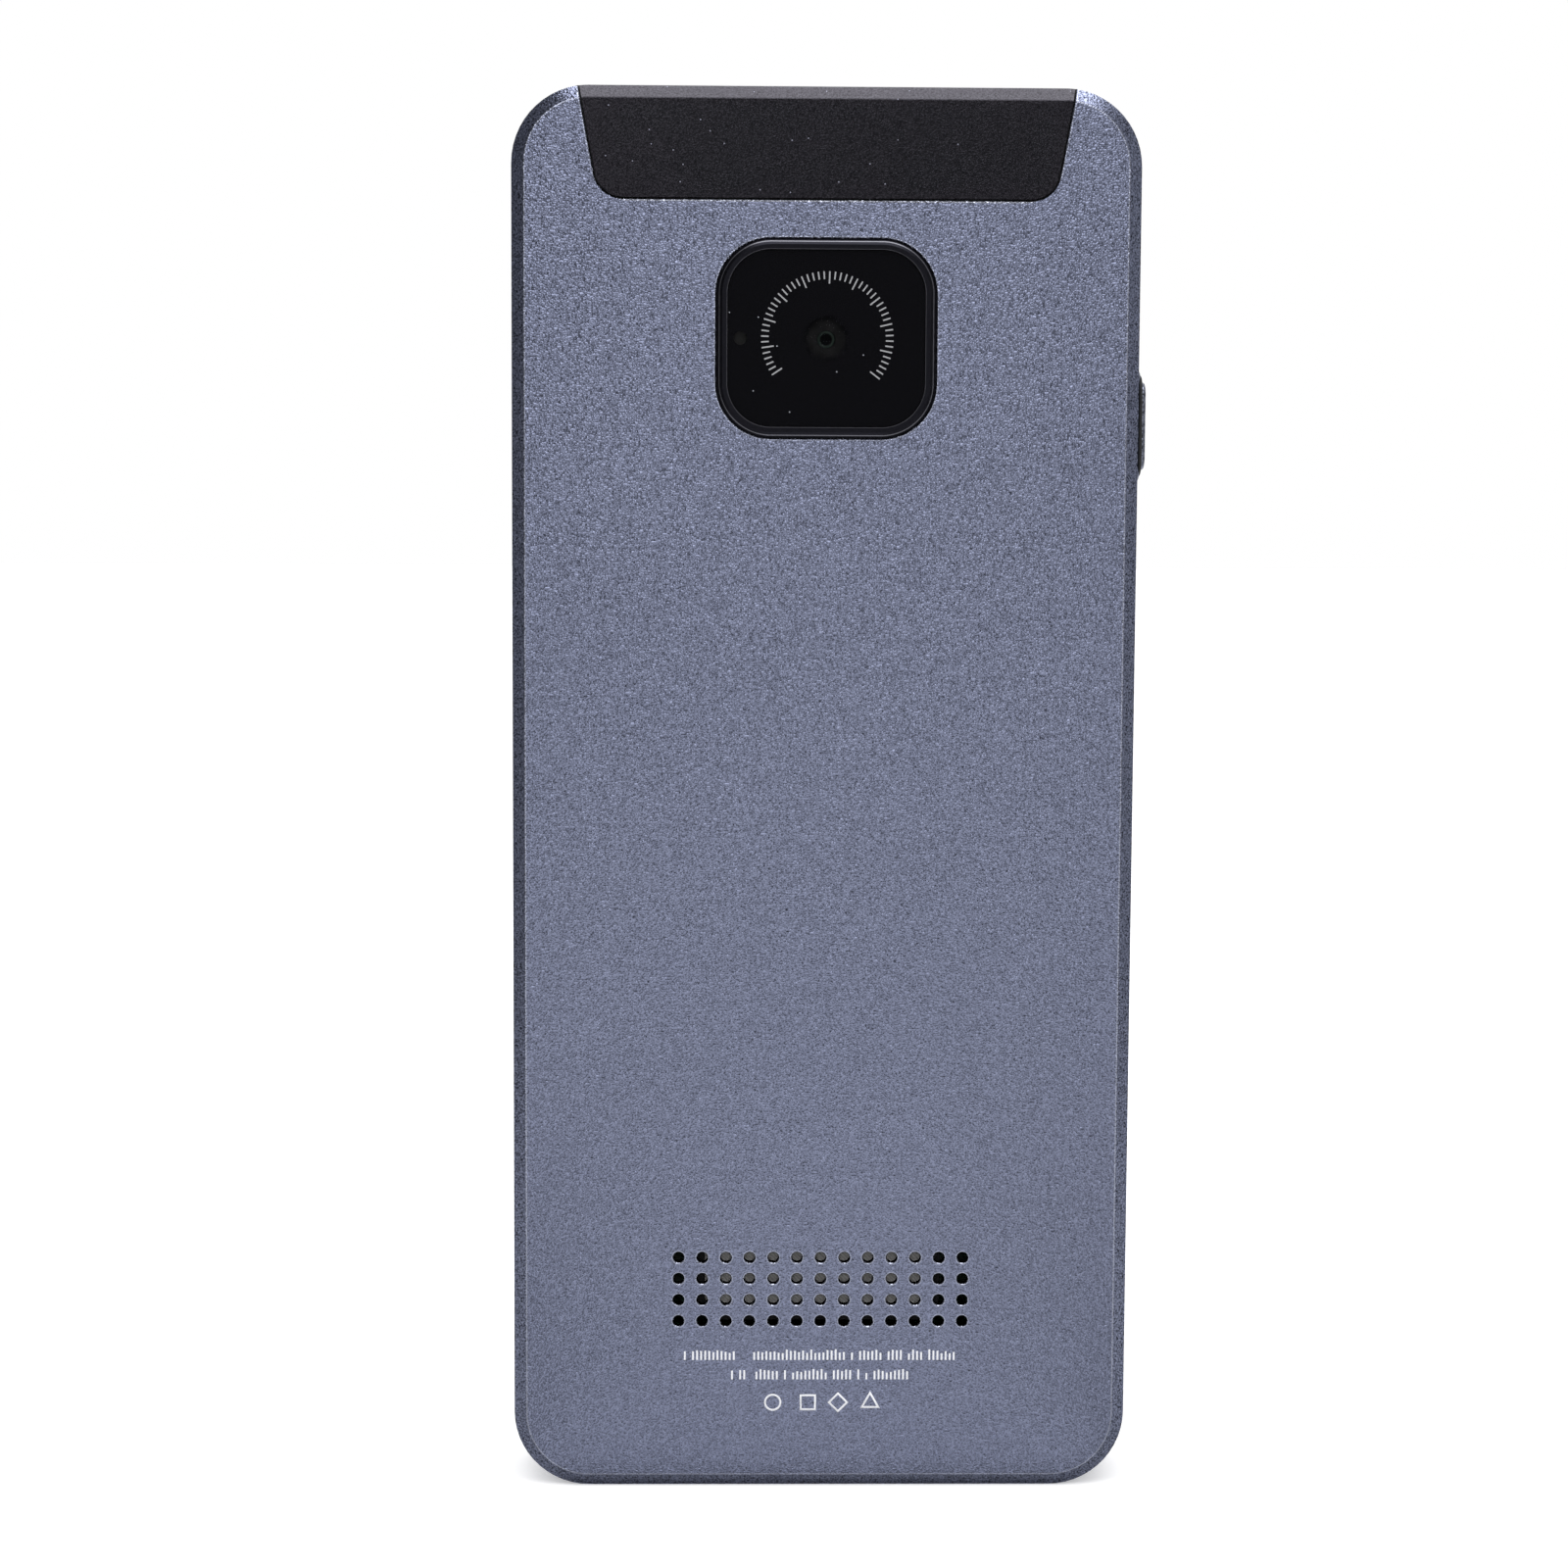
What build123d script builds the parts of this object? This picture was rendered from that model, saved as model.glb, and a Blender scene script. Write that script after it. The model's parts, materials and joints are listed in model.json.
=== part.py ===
"""Handheld voice translator: an aluminium tub with a camera and loudspeaker in its back,
a glass front with two talk keys, and everything that it holds inside.

Frame, in millimetres: +Z runs up the device, -Y points out of its back and +X towards the
side key. The origin is the middle of the bottom end, half-way through the thickness.
"""

import os

from build123d import *

os.makedirs("parts", exist_ok=True)

# ---------------------------------------------------------------- driving sizes: case
width = 57.0
height = 129.0
thickness = 11.5  # back face to cover glass
corner_radius = 7.0
side_wall = 1.2
back_wall = 0.9
bevel_width = 1.15  # bevel round the back, measured on the back face
bevel_depth = 0.75  # the same bevel, measured on the sides
bevel_blend = 0.25  # blasting rounds the edge between the bevel and the back
edge_break = 0.08  # where the window and camera openings meet the back
glass_proud = 0.35  # cover glass above the metal rim
rim_wall = 0.75  # metal rim beside the cover glass
rim_chamfer = 0.3

trim_gap = 0.15  # assembly gap round trims, glass and frame
seat_gap = 0.1  # gap round a piece that drops into a pocket
slide_gap = 0.12  # running gap round a key
screw_hole_gap = 0.05

# front stack
glass_thickness = 0.8
glass_edge_radius = 0.3
adhesive_thickness = 0.15
panel_thickness = 0.9
backlight_thickness = 0.9
backlight_border = 0.4  # steel tray inside the panel's outline
backlight_corner = 1.5
frame_plate = 0.8
frame_rim = 0.6
display_from_top = 6.6
display_from_bottom = 27.4
display_flex_fold = 1.4  # ribbon's fold above the display
flex_slot_height = 1.2
flex_slot_gap = 0.3
flex_thickness = 0.15

# screws and the posts that take them
screw_radius = 0.7
screw_length = 2.6
screw_head_radius = 1.3
screw_head_height = 0.5
screw_slot_length = 1.5
screw_slot_width = 0.3
screw_slot_depth = 0.25
post_radius = 1.7
frame_screw_head_radius = 1.25
frame_screw_head_height = 0.6
frame_screw_sunk = 0.05
frame_screw_from_side = 3.3
frame_screw_from_bottom = 7.0
frame_screw_from_top = 14.0
frame_screws_below_key = 4  # evenly spaced up each side, below the side key
frame_post_key_gap = 3.3  # side key's collar to the post below it
board_screw_from_edge = 2.2
main_screw_from_top = 11.9  # from the main board's own ends
main_screw_from_bottom = 9.4
sub_screw_from_top = 7.4  # from the lower board's own ends
sub_screw_from_bottom = 6.5

# boards
board_thickness = 0.8
board_corner = 1.5
main_board_post_gap = 1.2
main_board_from_top = 2.6
main_board_below_camera = 17.85  # camera's centre to the board's lower edge
main_board_standoff = 3.25
sub_board_post_gap = 0.9
sub_board_height = 26.4
sub_board_from_bottom = 2.0
sub_board_gap = 0.15

# antenna window in the top end
window_from_side = 6.0  # at the top end
window_taper = 1.85  # the lower corners stand further in
window_drop = 10.15  # down from the top end
window_corner = 2.7
window_to_rim = 2.4  # metal left between the window and the front rim
window_flange = 1.2
window_flange_thickness = 0.6
antenna_margin = 3.65
antenna_height = 6.5
antenna_corner = 1.0
antenna_slit_width = 18.7
antenna_slit_height = 1.95
antenna_slit_offset = -4.25

# camera
camera_below_window = 3.4
camera_cut_width = 20.0
camera_cut_height = 18.0
camera_cut_corner = 5.0
camera_gap = 0.18
camera_trim_wall = 0.85
camera_trim_proud = 0.3
camera_trim_bevel = 0.4
camera_trim_ledge = 0.5
camera_trim_flange = 1.2
camera_trim_flange_thickness = 0.5
camera_glass_thickness = 0.7
camera_glass_gap = 0.06
camera_glass_sunk = 0.2  # below the crest of the trim
camera_tape = 0.1
lens_module = 8.5
lens_module_corner = 0.4
lens_module_bevel = 0.3
lens_barrel_diameter = 5.2
lens_barrel_bevel = 0.42
lens_aperture = 1.7
lens_gap = 0.05  # lens in its aperture
lens_clearance = 0.3  # barrel behind the camera glass
lens_barrel_height = 0.85
lens_housing_height = 3.0
lens_base_height = 0.5
lens_depth = 0.5  # floor of the aperture below the barrel's face
lens_height = 0.25
lens_edge_radius = 0.22
camera_connector_width = 3.0
camera_connector_length = 6.0
camera_connector_reach = 7.2  # camera centre line to connector
camera_connector_height = 0.4
camera_flex_width = 5.0
camera_flex_straight = 0.4  # flat ribbon beyond the sensor and before the connector
camera_pad_size = 5.0

# rear microphone
rear_mic_offset = 7.82
rear_mic_hole = 1.2
mic_length = 3.0
mic_width = 2.3
mic_height = 0.9
mic_sound_hole = 0.5
mic_sound_depth = 0.45
boot_wall = 0.8
mic_port = 1.0

# loudspeaker and grille
grille_columns = 13
grille_rows = 4
grille_pitch_x = 2.2
grille_pitch_z = 2.0
grille_hole = 1.0
grille_countersink = 1.14
grille_from_bottom = 18.8
speaker_width = 20.8
speaker_height = 14.0
speaker_depth = 3.5
speaker_below_grille = 2.0  # lower edge of the speaker below the middle of the grille
speaker_offset = -0.4
speaker_corner = 1.2
speaker_gap = 0.25  # membrane to back wall
membrane_thickness = 0.3
membrane_groove_margin = 2.0
membrane_groove_width = 0.6
membrane_groove_depth = 0.1
speaker_magnet_diameter = 9.0
speaker_magnet_height = 2.2
speaker_case_wall = 0.6
speaker_spring_spacing = 6.0
gasket_width = 1.1
gasket_depth = 2.5

# charging socket
usb_width = 8.94
usb_height = 3.2
usb_depth = 7.35
usb_wall = 0.3
usb_recess = 0.3
usb_slot_gap = 0.18
usb_tongue_width = 6.7
usb_tongue_thickness = 0.7
usb_tongue_recess = 0.9
usb_base_depth = 1.6

# bottom microphones
bottom_mic_offset = 12.0
bottom_mic_hole = 1.0
bottom_mic_length = 3.8
bottom_mic_height = 3.0
bottom_mic_depth = 1.1
bottom_boot_depth = 1.4
bottom_boot_corner = 0.4

# battery
battery_post_gap = 1.0
battery_swell_gap = 1.35  # cell to mid frame
battery_corner = 1.2
battery_edge_radius = 0.95
battery_tape = 0.15
battery_tape_width = 11.0
battery_tape_margin = 5.0
battery_tape_offset = 11.25
battery_above_speaker = 1.6
battery_below_board = 1.4
protection_width = 30.0
protection_height = 3.2
protection_thickness = 1.2
battery_lead_width = 5.0
battery_lead_offset = -12.0
battery_pad_width = 30.0
battery_pad_height = 30.0
battery_pad_offset = -3.0

# chips, cans and connectors
can_wall = 0.2
can_corner = 0.4
can_depth = 1.5
processor_can_offset = 4.0
processor_can_margin = 1.0
chip_side_room = 3.0  # chips to the processor can, across
chip_end_room = 0.7  # and up the board
processor_size = 9.0
chip_depth = 0.9
memory_width = 7.0
memory_height = 9.0
memory_gap = 1.6
radio_can_width = 20.0
radio_can_height = 10.0
radio_can_offset = -6.0
radio_can_margin = 2.6
radio_chip_size = 6.0
thermal_pad_margin = 2.0
socket_height = 0.9
socket_width = 8.0
socket_length = 2.4
display_socket_from_edge = 10.3
display_socket_from_top = 9.5
link_from_edge = 3.3
link_width = 4.0
link_margin = 1.2
link_clearance = 0.1
spring_width = 1.2
spring_metal = 0.2
spring_length = 2.2
antenna_spring_from_end = 4.0
antenna_spring_spacing = 5.0

# side key
side_key_from_top = 30.1
side_key_length = 8.1
side_key_width = 2.6
side_key_proud = 1.1
side_key_flange = 0.65
side_key_flange_thickness = 0.5
side_key_rest_gap = 0.2  # key flange to collar
side_key_travel = 0.35
side_key_radius = 0.25
collar_length = 10.8
collar_width = 4.6
collar_proud = 0.55
collar_flange = 0.5
collar_flange_thickness = 0.6
collar_chamfer = 0.35
collar_frame_gap = 0.25  # collar's flange to the mid frame
side_switch_length = 6.0
side_switch_width = 3.0
side_switch_depth = 1.7
side_plunger_radius = 0.7
side_plunger_sunk = 0.7
bracket_thickness = 0.5
bracket_margin = 1.5  # beyond each end of the switch
bracket_rise = 0.75  # above the switch
bracket_foot = 3.6

# talk keys
talk_key_from_side = 6.8
talk_key_spacing = 5.4
talk_key_width = 10.5
talk_key_from_bottom = 15.2
talk_key_proud = 0.3  # above the cover glass
talk_key_flange = 0.8
talk_key_flange_thickness = 0.6
talk_key_radius = 0.3
talk_key_rest_gap = 0.1  # flange to the back of the adhesive
talk_key_opening_gap = 0.15
talk_key_well_gap = 0.2
talk_key_travel = 0.3
talk_switch_length = 6.0
talk_switch_width = 3.6
talk_switch_corner = 0.3
talk_plunger_radius = 0.85
talk_plunger_sunk = 0.5
plunger_gap = 0.08
plunger_stop = 0.1  # pocket left under a plunger at full travel

# ---------------------------------------------------------------- places worked out from them
back = -thickness / 2
front = thickness / 2
rim_front = front - glass_proud
back_inside = back + back_wall
side_inside = width / 2 - side_wall
screw_hole = screw_radius + screw_hole_gap

# layers of the front, from the glass backwards
glass_back = front - glass_thickness
ledge = glass_back - adhesive_thickness
panel_back = glass_back - panel_thickness
frame_front = panel_back - backlight_thickness
frame_back = frame_front - frame_plate
frame_inset = side_wall + seat_gap
frame_opening_inset = frame_inset + frame_rim
display_width = width - 2 * (frame_opening_inset + seat_gap)
display_height = height - display_from_top - display_from_bottom
display_top = height - display_from_top
display_z = display_top - display_height / 2
display_flex_slot_z = display_top + display_flex_fold

window_top_width = width - 2 * window_from_side
window_bottom_width = window_top_width - 2 * window_taper
window_reach = rim_front - window_to_rim - back
antenna_width = window_bottom_width - 2 * antenna_margin
antenna_face = back_inside + window_flange_thickness
antenna_z = height - (window_drop + side_wall) / 2

camera_z = height - window_drop - camera_below_window - camera_cut_height / 2
camera_crest = back - camera_trim_proud
camera_glass_front = camera_crest + camera_glass_sunk
camera_glass_back = camera_glass_front + camera_glass_thickness
camera_ledge = camera_glass_back + camera_tape
camera_glass_inset = camera_gap + camera_trim_wall + camera_glass_gap
camera_window_inset = camera_gap + camera_trim_wall + camera_trim_ledge
lens_front = camera_ledge + lens_clearance
lens_housing_back = lens_front + lens_barrel_height
lens_base_back = lens_housing_back + lens_housing_height
lens_base_front = lens_base_back + lens_base_height

frame_post_x = width / 2 - frame_screw_from_side
frame_post_inner = frame_screw_from_side + post_radius  # in from the side of the case
main_board_width = width - 2 * (frame_post_inner + main_board_post_gap)
main_board_back = back_inside + main_board_standoff
main_board_front = main_board_back + board_thickness
main_board_top = height - main_board_from_top
main_board_bottom = camera_z - main_board_below_camera
main_board_height = main_board_top - main_board_bottom
sub_board_width = width - 2 * (frame_post_inner + sub_board_post_gap)
sub_board_front = frame_back - sub_board_gap
sub_board_back = sub_board_front - board_thickness
sub_board_top = sub_board_from_bottom + sub_board_height

speaker_front = back_inside + speaker_gap
speaker_back = speaker_front + speaker_depth
speaker_z = grille_from_bottom - speaker_below_grille + speaker_height / 2
speaker_top = speaker_z + speaker_height / 2

battery_width = width - 2 * (frame_post_inner + battery_post_gap)
battery_back = back_inside + battery_tape
battery_front = frame_back - battery_swell_gap
battery_thickness = battery_front - battery_back
battery_bottom = speaker_top + battery_above_speaker
battery_top = main_board_bottom - battery_below_board - protection_height
battery_height = battery_top - battery_bottom
battery_z = (battery_top + battery_bottom) / 2

processor_can_width = (
    processor_size + memory_gap + memory_width + 2 * (chip_side_room + can_wall)
)
processor_can_height = max(processor_size, memory_height) + 2 * (chip_end_room + can_wall)
processor_can_z = main_board_bottom + processor_can_margin + processor_can_height / 2
processor_x = processor_can_offset - (memory_width + memory_gap) / 2
memory_x = processor_can_offset + (processor_size + memory_gap) / 2
radio_can_z = main_board_top - radio_can_margin - radio_can_height / 2

usb_y = sub_board_back - usb_height / 2
bottom_mic_places = [(-bottom_mic_offset, usb_y), (bottom_mic_offset, usb_y)]

side_key_z = height - side_key_from_top
side_key_y = frame_back - collar_frame_gap - collar_flange - collar_width / 2
collar_inside = side_inside - collar_flange_thickness
side_flange_outer = collar_inside - side_key_rest_gap
side_flange_inner = side_flange_outer - side_key_flange_thickness
side_switch_outer = side_flange_inner - 2 * side_key_travel
side_switch_inner = side_switch_outer - side_switch_depth
side_flex_inner = side_switch_inner - flex_thickness
bracket_length = side_switch_length + 2 * bracket_margin

talk_key_length = (width - talk_key_spacing) / 2 - talk_key_from_side
talk_key_offset = (talk_key_length + talk_key_spacing) / 2
talk_flange_front = ledge - talk_key_rest_gap
talk_flange_back = talk_flange_front - talk_key_flange_thickness
talk_switch_front = talk_flange_back - talk_key_travel - plunger_stop - plunger_gap
talk_key_places = [(-talk_key_offset, talk_key_from_bottom), (talk_key_offset, talk_key_from_bottom)]
talk_key_names = ["talk_key_left", "talk_key_right"]

# posts and their screws, as (x, z) places: up each side for the frame, in each board's corners
row_below_key = side_key_z - collar_length / 2 - collar_flange - frame_post_key_gap - post_radius
row_spacing = (row_below_key - frame_screw_from_bottom) / (frame_screws_below_key - 1)
frame_post_rows = [
    frame_screw_from_bottom + row * row_spacing for row in range(frame_screws_below_key)
]
frame_post_rows.append(height - frame_screw_from_top)
frame_posts = [(side * frame_post_x, z) for side in (-1, 1) for z in frame_post_rows]
frame_web_width = side_inside - frame_post_x  # a web ties each frame post to the side wall
frame_webs = [(side * (side_inside - frame_web_width / 2), z) for side in (-1, 1) for z in frame_post_rows]
main_posts = [
    (side * (main_board_width / 2 - board_screw_from_edge), z)
    for side in (-1, 1)
    for z in (main_board_top - main_screw_from_top, main_board_bottom + main_screw_from_bottom)
]
sub_posts = [
    (side * (sub_board_width / 2 - board_screw_from_edge), z)
    for side in (-1, 1)
    for z in (sub_board_top - sub_screw_from_top, sub_board_from_bottom + sub_screw_from_bottom)
]

# plugs, sockets and ribbons
display_socket_x = main_board_width / 2 - display_socket_from_edge
display_socket_z = height - display_socket_from_top
link_x = main_board_width / 2 - link_from_edge
link_main_z = main_board_bottom + link_margin + socket_length / 2
link_sub_z = sub_board_top - link_margin - socket_length / 2
socket_face = main_board_front + socket_height + flex_thickness / 2
link_face = sub_board_back - socket_height - flex_thickness / 2
over_battery = battery_front + link_clearance + flex_thickness / 2


# ---------------------------------------------------------------- shared profiles
def layer(y):
    """A plane across the device at depth y: local x is X, local y is Z, and it faces the back."""
    return Plane.XZ.offset(-y)


def case_outline(inset=0.0, mode=Mode.ADD):
    """The outline of the case seen from the back, drawn in from its edge by an inset."""
    with Locations((0, height / 2)):
        RectangleRounded(width - 2 * inset, height - 2 * inset, corner_radius - inset, mode=mode)


def window_outline(grow=0.0):
    """The antenna window: a trapezium that runs past the top end, its lower corners rounded."""
    slope = (window_top_width - window_bottom_width) / 2 / window_drop
    above = side_wall + grow
    top_half = window_top_width / 2 + slope * above + grow
    bottom_half = window_bottom_width / 2 - slope * grow + grow
    low = height - window_drop - grow
    with BuildLine() as edge:
        sides = FilletPolyline(
            (-top_half, height + above),
            (-bottom_half, low),
            (bottom_half, low),
            (top_half, height + above),
            radius=window_corner + grow,
        )
        Line(sides @ 1, sides @ 0)
    make_face(edge.line)


def camera_outline(inset=0.0, mode=Mode.ADD):
    """The camera cut-out, drawn in from its edge by an inset."""
    with Locations((0, camera_z)):
        RectangleRounded(
            camera_cut_width - 2 * inset,
            camera_cut_height - 2 * inset,
            camera_cut_corner - inset,
            mode=mode,
        )


def talk_key_outline(place, grow=0.0, mode=Mode.ADD):
    """One talk key, seen from the front."""
    with Locations(place):
        SlotOverall(talk_key_length + 2 * grow, talk_key_width + 2 * grow, mode=mode)


def side_slot(length, across):
    """A slot up the side of the case, centred on the side key."""
    with Locations((side_key_y, side_key_z)):
        SlotOverall(length, across, rotation=90)


# ---------------------------------------------------------------- case
with BuildPart() as case_blank:
    # The outside that the aluminium cover and the plastic antenna window share.
    with BuildSketch(layer(rim_front)):
        case_outline()
    extrude(amount=rim_front - back)
    back_face = case_blank.faces().sort_by(Axis.Y)[0]
    chamfer(back_face.edges(), length=bevel_width, length2=bevel_depth, reference=back_face)
    fillet(case_blank.edges(Select.LAST).group_by(Axis.Y)[0], bevel_blend)
    chamfer(case_blank.edges().group_by(Axis.Y)[-1], rim_chamfer)
    with BuildSketch(layer(rim_front)):
        case_outline(side_wall)
    extrude(amount=rim_front - back_inside, mode=Mode.SUBTRACT)
    with BuildSketch(layer(rim_front)):
        case_outline(rim_wall)
    extrude(amount=rim_front - ledge, mode=Mode.SUBTRACT)

with BuildPart() as rear_cover:
    add(case_blank.part)
    # posts for the main board, the lower board and the mid frame
    with BuildSketch(layer(main_board_back)):
        with Locations(*main_posts):
            Circle(post_radius)
    extrude(amount=main_board_back - back_inside)
    with BuildSketch(layer(sub_board_back)):
        with Locations(*sub_posts):
            Circle(post_radius)
    extrude(amount=sub_board_back - back_inside)
    with BuildSketch(layer(frame_back)):
        with Locations(*frame_posts):
            Circle(post_radius)
        with Locations(*frame_webs):
            Rectangle(frame_web_width, 2 * post_radius)
    extrude(amount=frame_back - back_inside)
    seats = ((main_board_back, main_posts), (sub_board_back, sub_posts), (frame_back, frame_posts))
    for seat, places in seats:
        with BuildSketch(layer(seat)):
            with Locations(*places):
                Circle(screw_hole)
        extrude(amount=screw_length, mode=Mode.SUBTRACT)
    # antenna window, through the back and the top end
    with BuildSketch(layer(back + window_reach)):
        window_outline()
    extrude(amount=window_reach, mode=Mode.SUBTRACT)
    chamfer(rear_cover.edges(Select.LAST).group_by(Axis.Y)[0], edge_break)
    # camera window
    with BuildSketch(layer(back_inside)):
        camera_outline()
    extrude(amount=back_wall, mode=Mode.SUBTRACT)
    chamfer(rear_cover.edges(Select.LAST).group_by(Axis.Y)[0], edge_break)
    # loudspeaker grille, each hole with a small countersink
    with Locations(layer(back)):
        with Locations((0, grille_from_bottom)):
            with GridLocations(grille_pitch_x, grille_pitch_z, grille_columns, grille_rows):
                CounterSinkHole(grille_hole / 2, grille_countersink / 2, back_wall)
    # side key
    with BuildSketch(Plane.YZ.offset(side_inside)):
        side_slot(collar_length + 2 * seat_gap, collar_width + 2 * seat_gap)
    extrude(amount=side_wall, mode=Mode.SUBTRACT)
    # charging socket and the two bottom microphones
    with BuildSketch(Plane.XY):
        with Locations((0, usb_y)):
            SlotOverall(usb_width + 2 * usb_slot_gap, usb_height + 2 * usb_slot_gap)
        with Locations(*bottom_mic_places):
            Circle(bottom_mic_hole / 2)
    extrude(amount=side_wall, mode=Mode.SUBTRACT)
rear_cover.part.label = "rear_cover"
export_step(rear_cover.part, "parts/rear_cover.step")

with BuildPart() as antenna_window:
    add(case_blank.part)
    with BuildSketch(layer(back + window_reach - trim_gap)):
        window_outline(-trim_gap)
    extrude(amount=window_reach - trim_gap, mode=Mode.INTERSECT)
    # glue flange behind the cover
    with BuildSketch(layer(back_inside + window_flange_thickness)):
        window_outline(window_flange)
        case_outline(side_wall + seat_gap, mode=Mode.INTERSECT)
    extrude(amount=window_flange_thickness)
antenna_window.part.label = "antenna_window"
export_step(antenna_window.part, "parts/antenna_window.step")


# ---------------------------------------------------------------- camera
with BuildPart() as camera_trim:
    with BuildSketch(layer(back_inside)):
        camera_outline(camera_gap)
    extrude(amount=back_inside - camera_crest)
    crest = camera_trim.faces().sort_by(Axis.Y)[0]
    chamfer(crest.edges(), length=camera_trim_bevel, length2=camera_trim_proud, reference=crest)
    with BuildSketch(layer(back_inside + camera_trim_flange_thickness)):
        camera_outline(-camera_trim_flange)
    extrude(amount=camera_trim_flange_thickness)
    with BuildSketch(layer(camera_ledge)):
        camera_outline(camera_gap + camera_trim_wall)
    extrude(amount=camera_ledge - camera_crest, mode=Mode.SUBTRACT)
    with BuildSketch(layer(back_inside + camera_trim_flange_thickness)):
        camera_outline(camera_window_inset)
        with Locations((-rear_mic_offset, camera_z)):
            Circle(mic_port / 2 + boot_wall + trim_gap)  # room for the microphone's rubber boot
    extrude(amount=back_inside + camera_trim_flange_thickness - camera_ledge, mode=Mode.SUBTRACT)
camera_trim.part.label = "camera_trim"
export_step(camera_trim.part, "parts/camera_trim.step")

with BuildPart() as camera_glass:
    with BuildSketch(layer(camera_glass_back)):
        camera_outline(camera_glass_inset)
        with Locations((-rear_mic_offset, camera_z)):
            Circle(rear_mic_hole / 2, mode=Mode.SUBTRACT)
    extrude(amount=camera_glass_thickness)
camera_glass.part.label = "camera_glass"
export_step(camera_glass.part, "parts/camera_glass.step")

with BuildPart() as camera_glass_tape:
    with BuildSketch(layer(camera_ledge)):
        camera_outline(camera_glass_inset)
        camera_outline(camera_window_inset, mode=Mode.SUBTRACT)
    extrude(amount=camera_tape)
camera_glass_tape.part.label = "camera_glass_tape"
export_step(camera_glass_tape.part, "parts/camera_glass_tape.step")

with BuildPart() as camera_barrel:
    with BuildSketch(layer(lens_housing_back)):
        with Locations((0, camera_z)):
            Circle(lens_barrel_diameter / 2)
    extrude(amount=lens_barrel_height)
    chamfer(camera_barrel.edges().group_by(Axis.Y)[0], lens_barrel_bevel)
    with BuildSketch(layer(lens_front + lens_depth)):
        with Locations((0, camera_z)):
            Circle(lens_aperture / 2)
    extrude(amount=lens_depth, mode=Mode.SUBTRACT)
camera_barrel.part.label = "camera_barrel"
export_step(camera_barrel.part, "parts/camera_barrel.step")

with BuildPart() as camera_lens:
    # A small domed lens at the bottom of the aperture.
    with BuildSketch(layer(lens_front + lens_depth)):
        with Locations((0, camera_z)):
            Circle(lens_aperture / 2 - lens_gap)
    extrude(amount=lens_height)
    fillet(camera_lens.edges().group_by(Axis.Y)[0], lens_edge_radius)
camera_lens.part.label = "camera_lens"
export_step(camera_lens.part, "parts/camera_lens.step")

with BuildPart() as camera_housing:
    with BuildSketch(layer(lens_base_back)):
        with Locations((0, camera_z)):
            RectangleRounded(lens_module, lens_module, lens_module_corner)
    extrude(amount=lens_housing_height)
    chamfer(camera_housing.edges().group_by(Axis.Y)[0], lens_module_bevel)
camera_housing.part.label = "camera_housing"
export_step(camera_housing.part, "parts/camera_housing.step")

with BuildPart() as camera_base:
    with BuildSketch(layer(lens_base_front)):
        with Locations((0, camera_z)):
            Rectangle(lens_module, lens_module)
    extrude(amount=lens_base_height)
camera_base.part.label = "camera_base"
export_step(camera_base.part, "parts/camera_base.step")

camera_connector_front = main_board_front + camera_connector_height
camera_flex_end = camera_connector_reach + camera_connector_width
with BuildPart() as camera_connector:
    with BuildSketch(layer(camera_connector_front)):
        with Locations((camera_connector_reach + camera_connector_width / 2, camera_z)):
            Rectangle(camera_connector_width, camera_connector_length)
    extrude(amount=camera_connector_height)
camera_connector.part.label = "camera_connector"
export_step(camera_connector.part, "parts/camera_connector.step")

with BuildPart() as camera_flex:
    # From under the sensor, across the board and down onto the connector.
    under_sensor = lens_base_front + flex_thickness / 2
    on_connector = camera_connector_front + flex_thickness / 2
    with BuildSketch(Plane.XY.offset(camera_z)):
        with BuildLine():
            Polyline(
                (-lens_module / 2, under_sensor),
                (lens_module / 2 + camera_flex_straight, under_sensor),
                (camera_connector_reach - camera_flex_straight, on_connector),
                (camera_flex_end, on_connector),
            )
        trace(line_width=flex_thickness)
    extrude(amount=camera_flex_width / 2, both=True)
camera_flex.part.label = "camera_flex"
export_step(camera_flex.part, "parts/camera_flex.step")

with BuildPart() as camera_pad:
    with BuildSketch(layer(frame_back)):
        with Locations((0, camera_z)):
            Rectangle(camera_pad_size, camera_pad_size)
    extrude(amount=frame_back - lens_base_front - flex_thickness)
camera_pad.part.label = "camera_pad"
export_step(camera_pad.part, "parts/camera_pad.step")

with BuildPart() as rear_microphone:
    with BuildSketch(layer(main_board_back)):
        with Locations((-rear_mic_offset, camera_z)):
            Rectangle(mic_width, mic_length)
    extrude(amount=mic_height)
    with BuildSketch(layer(main_board_back - mic_height)):
        with Locations((-rear_mic_offset, camera_z)):
            Circle(mic_sound_hole / 2)
    extrude(amount=-mic_sound_depth, mode=Mode.SUBTRACT)
rear_microphone.part.label = "rear_microphone"
export_step(rear_microphone.part, "parts/rear_microphone.step")

with BuildPart() as rear_mic_boot:
    boot_front = main_board_back - mic_height
    with BuildSketch(layer(boot_front)):
        with Locations((-rear_mic_offset, camera_z)):
            Circle(mic_port / 2 + boot_wall)
            Circle(mic_port / 2, mode=Mode.SUBTRACT)
    extrude(amount=boot_front - camera_ledge)
rear_mic_boot.part.label = "rear_mic_boot"
export_step(rear_mic_boot.part, "parts/rear_mic_boot.step")


# ---------------------------------------------------------------- loudspeaker
def speaker_outline(grow=0.0, mode=Mode.ADD):
    """The loudspeaker seen from the back."""
    with Locations((speaker_offset, speaker_z)):
        RectangleRounded(
            speaker_width + 2 * grow, speaker_height + 2 * grow, speaker_corner + grow, mode=mode
        )


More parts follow.
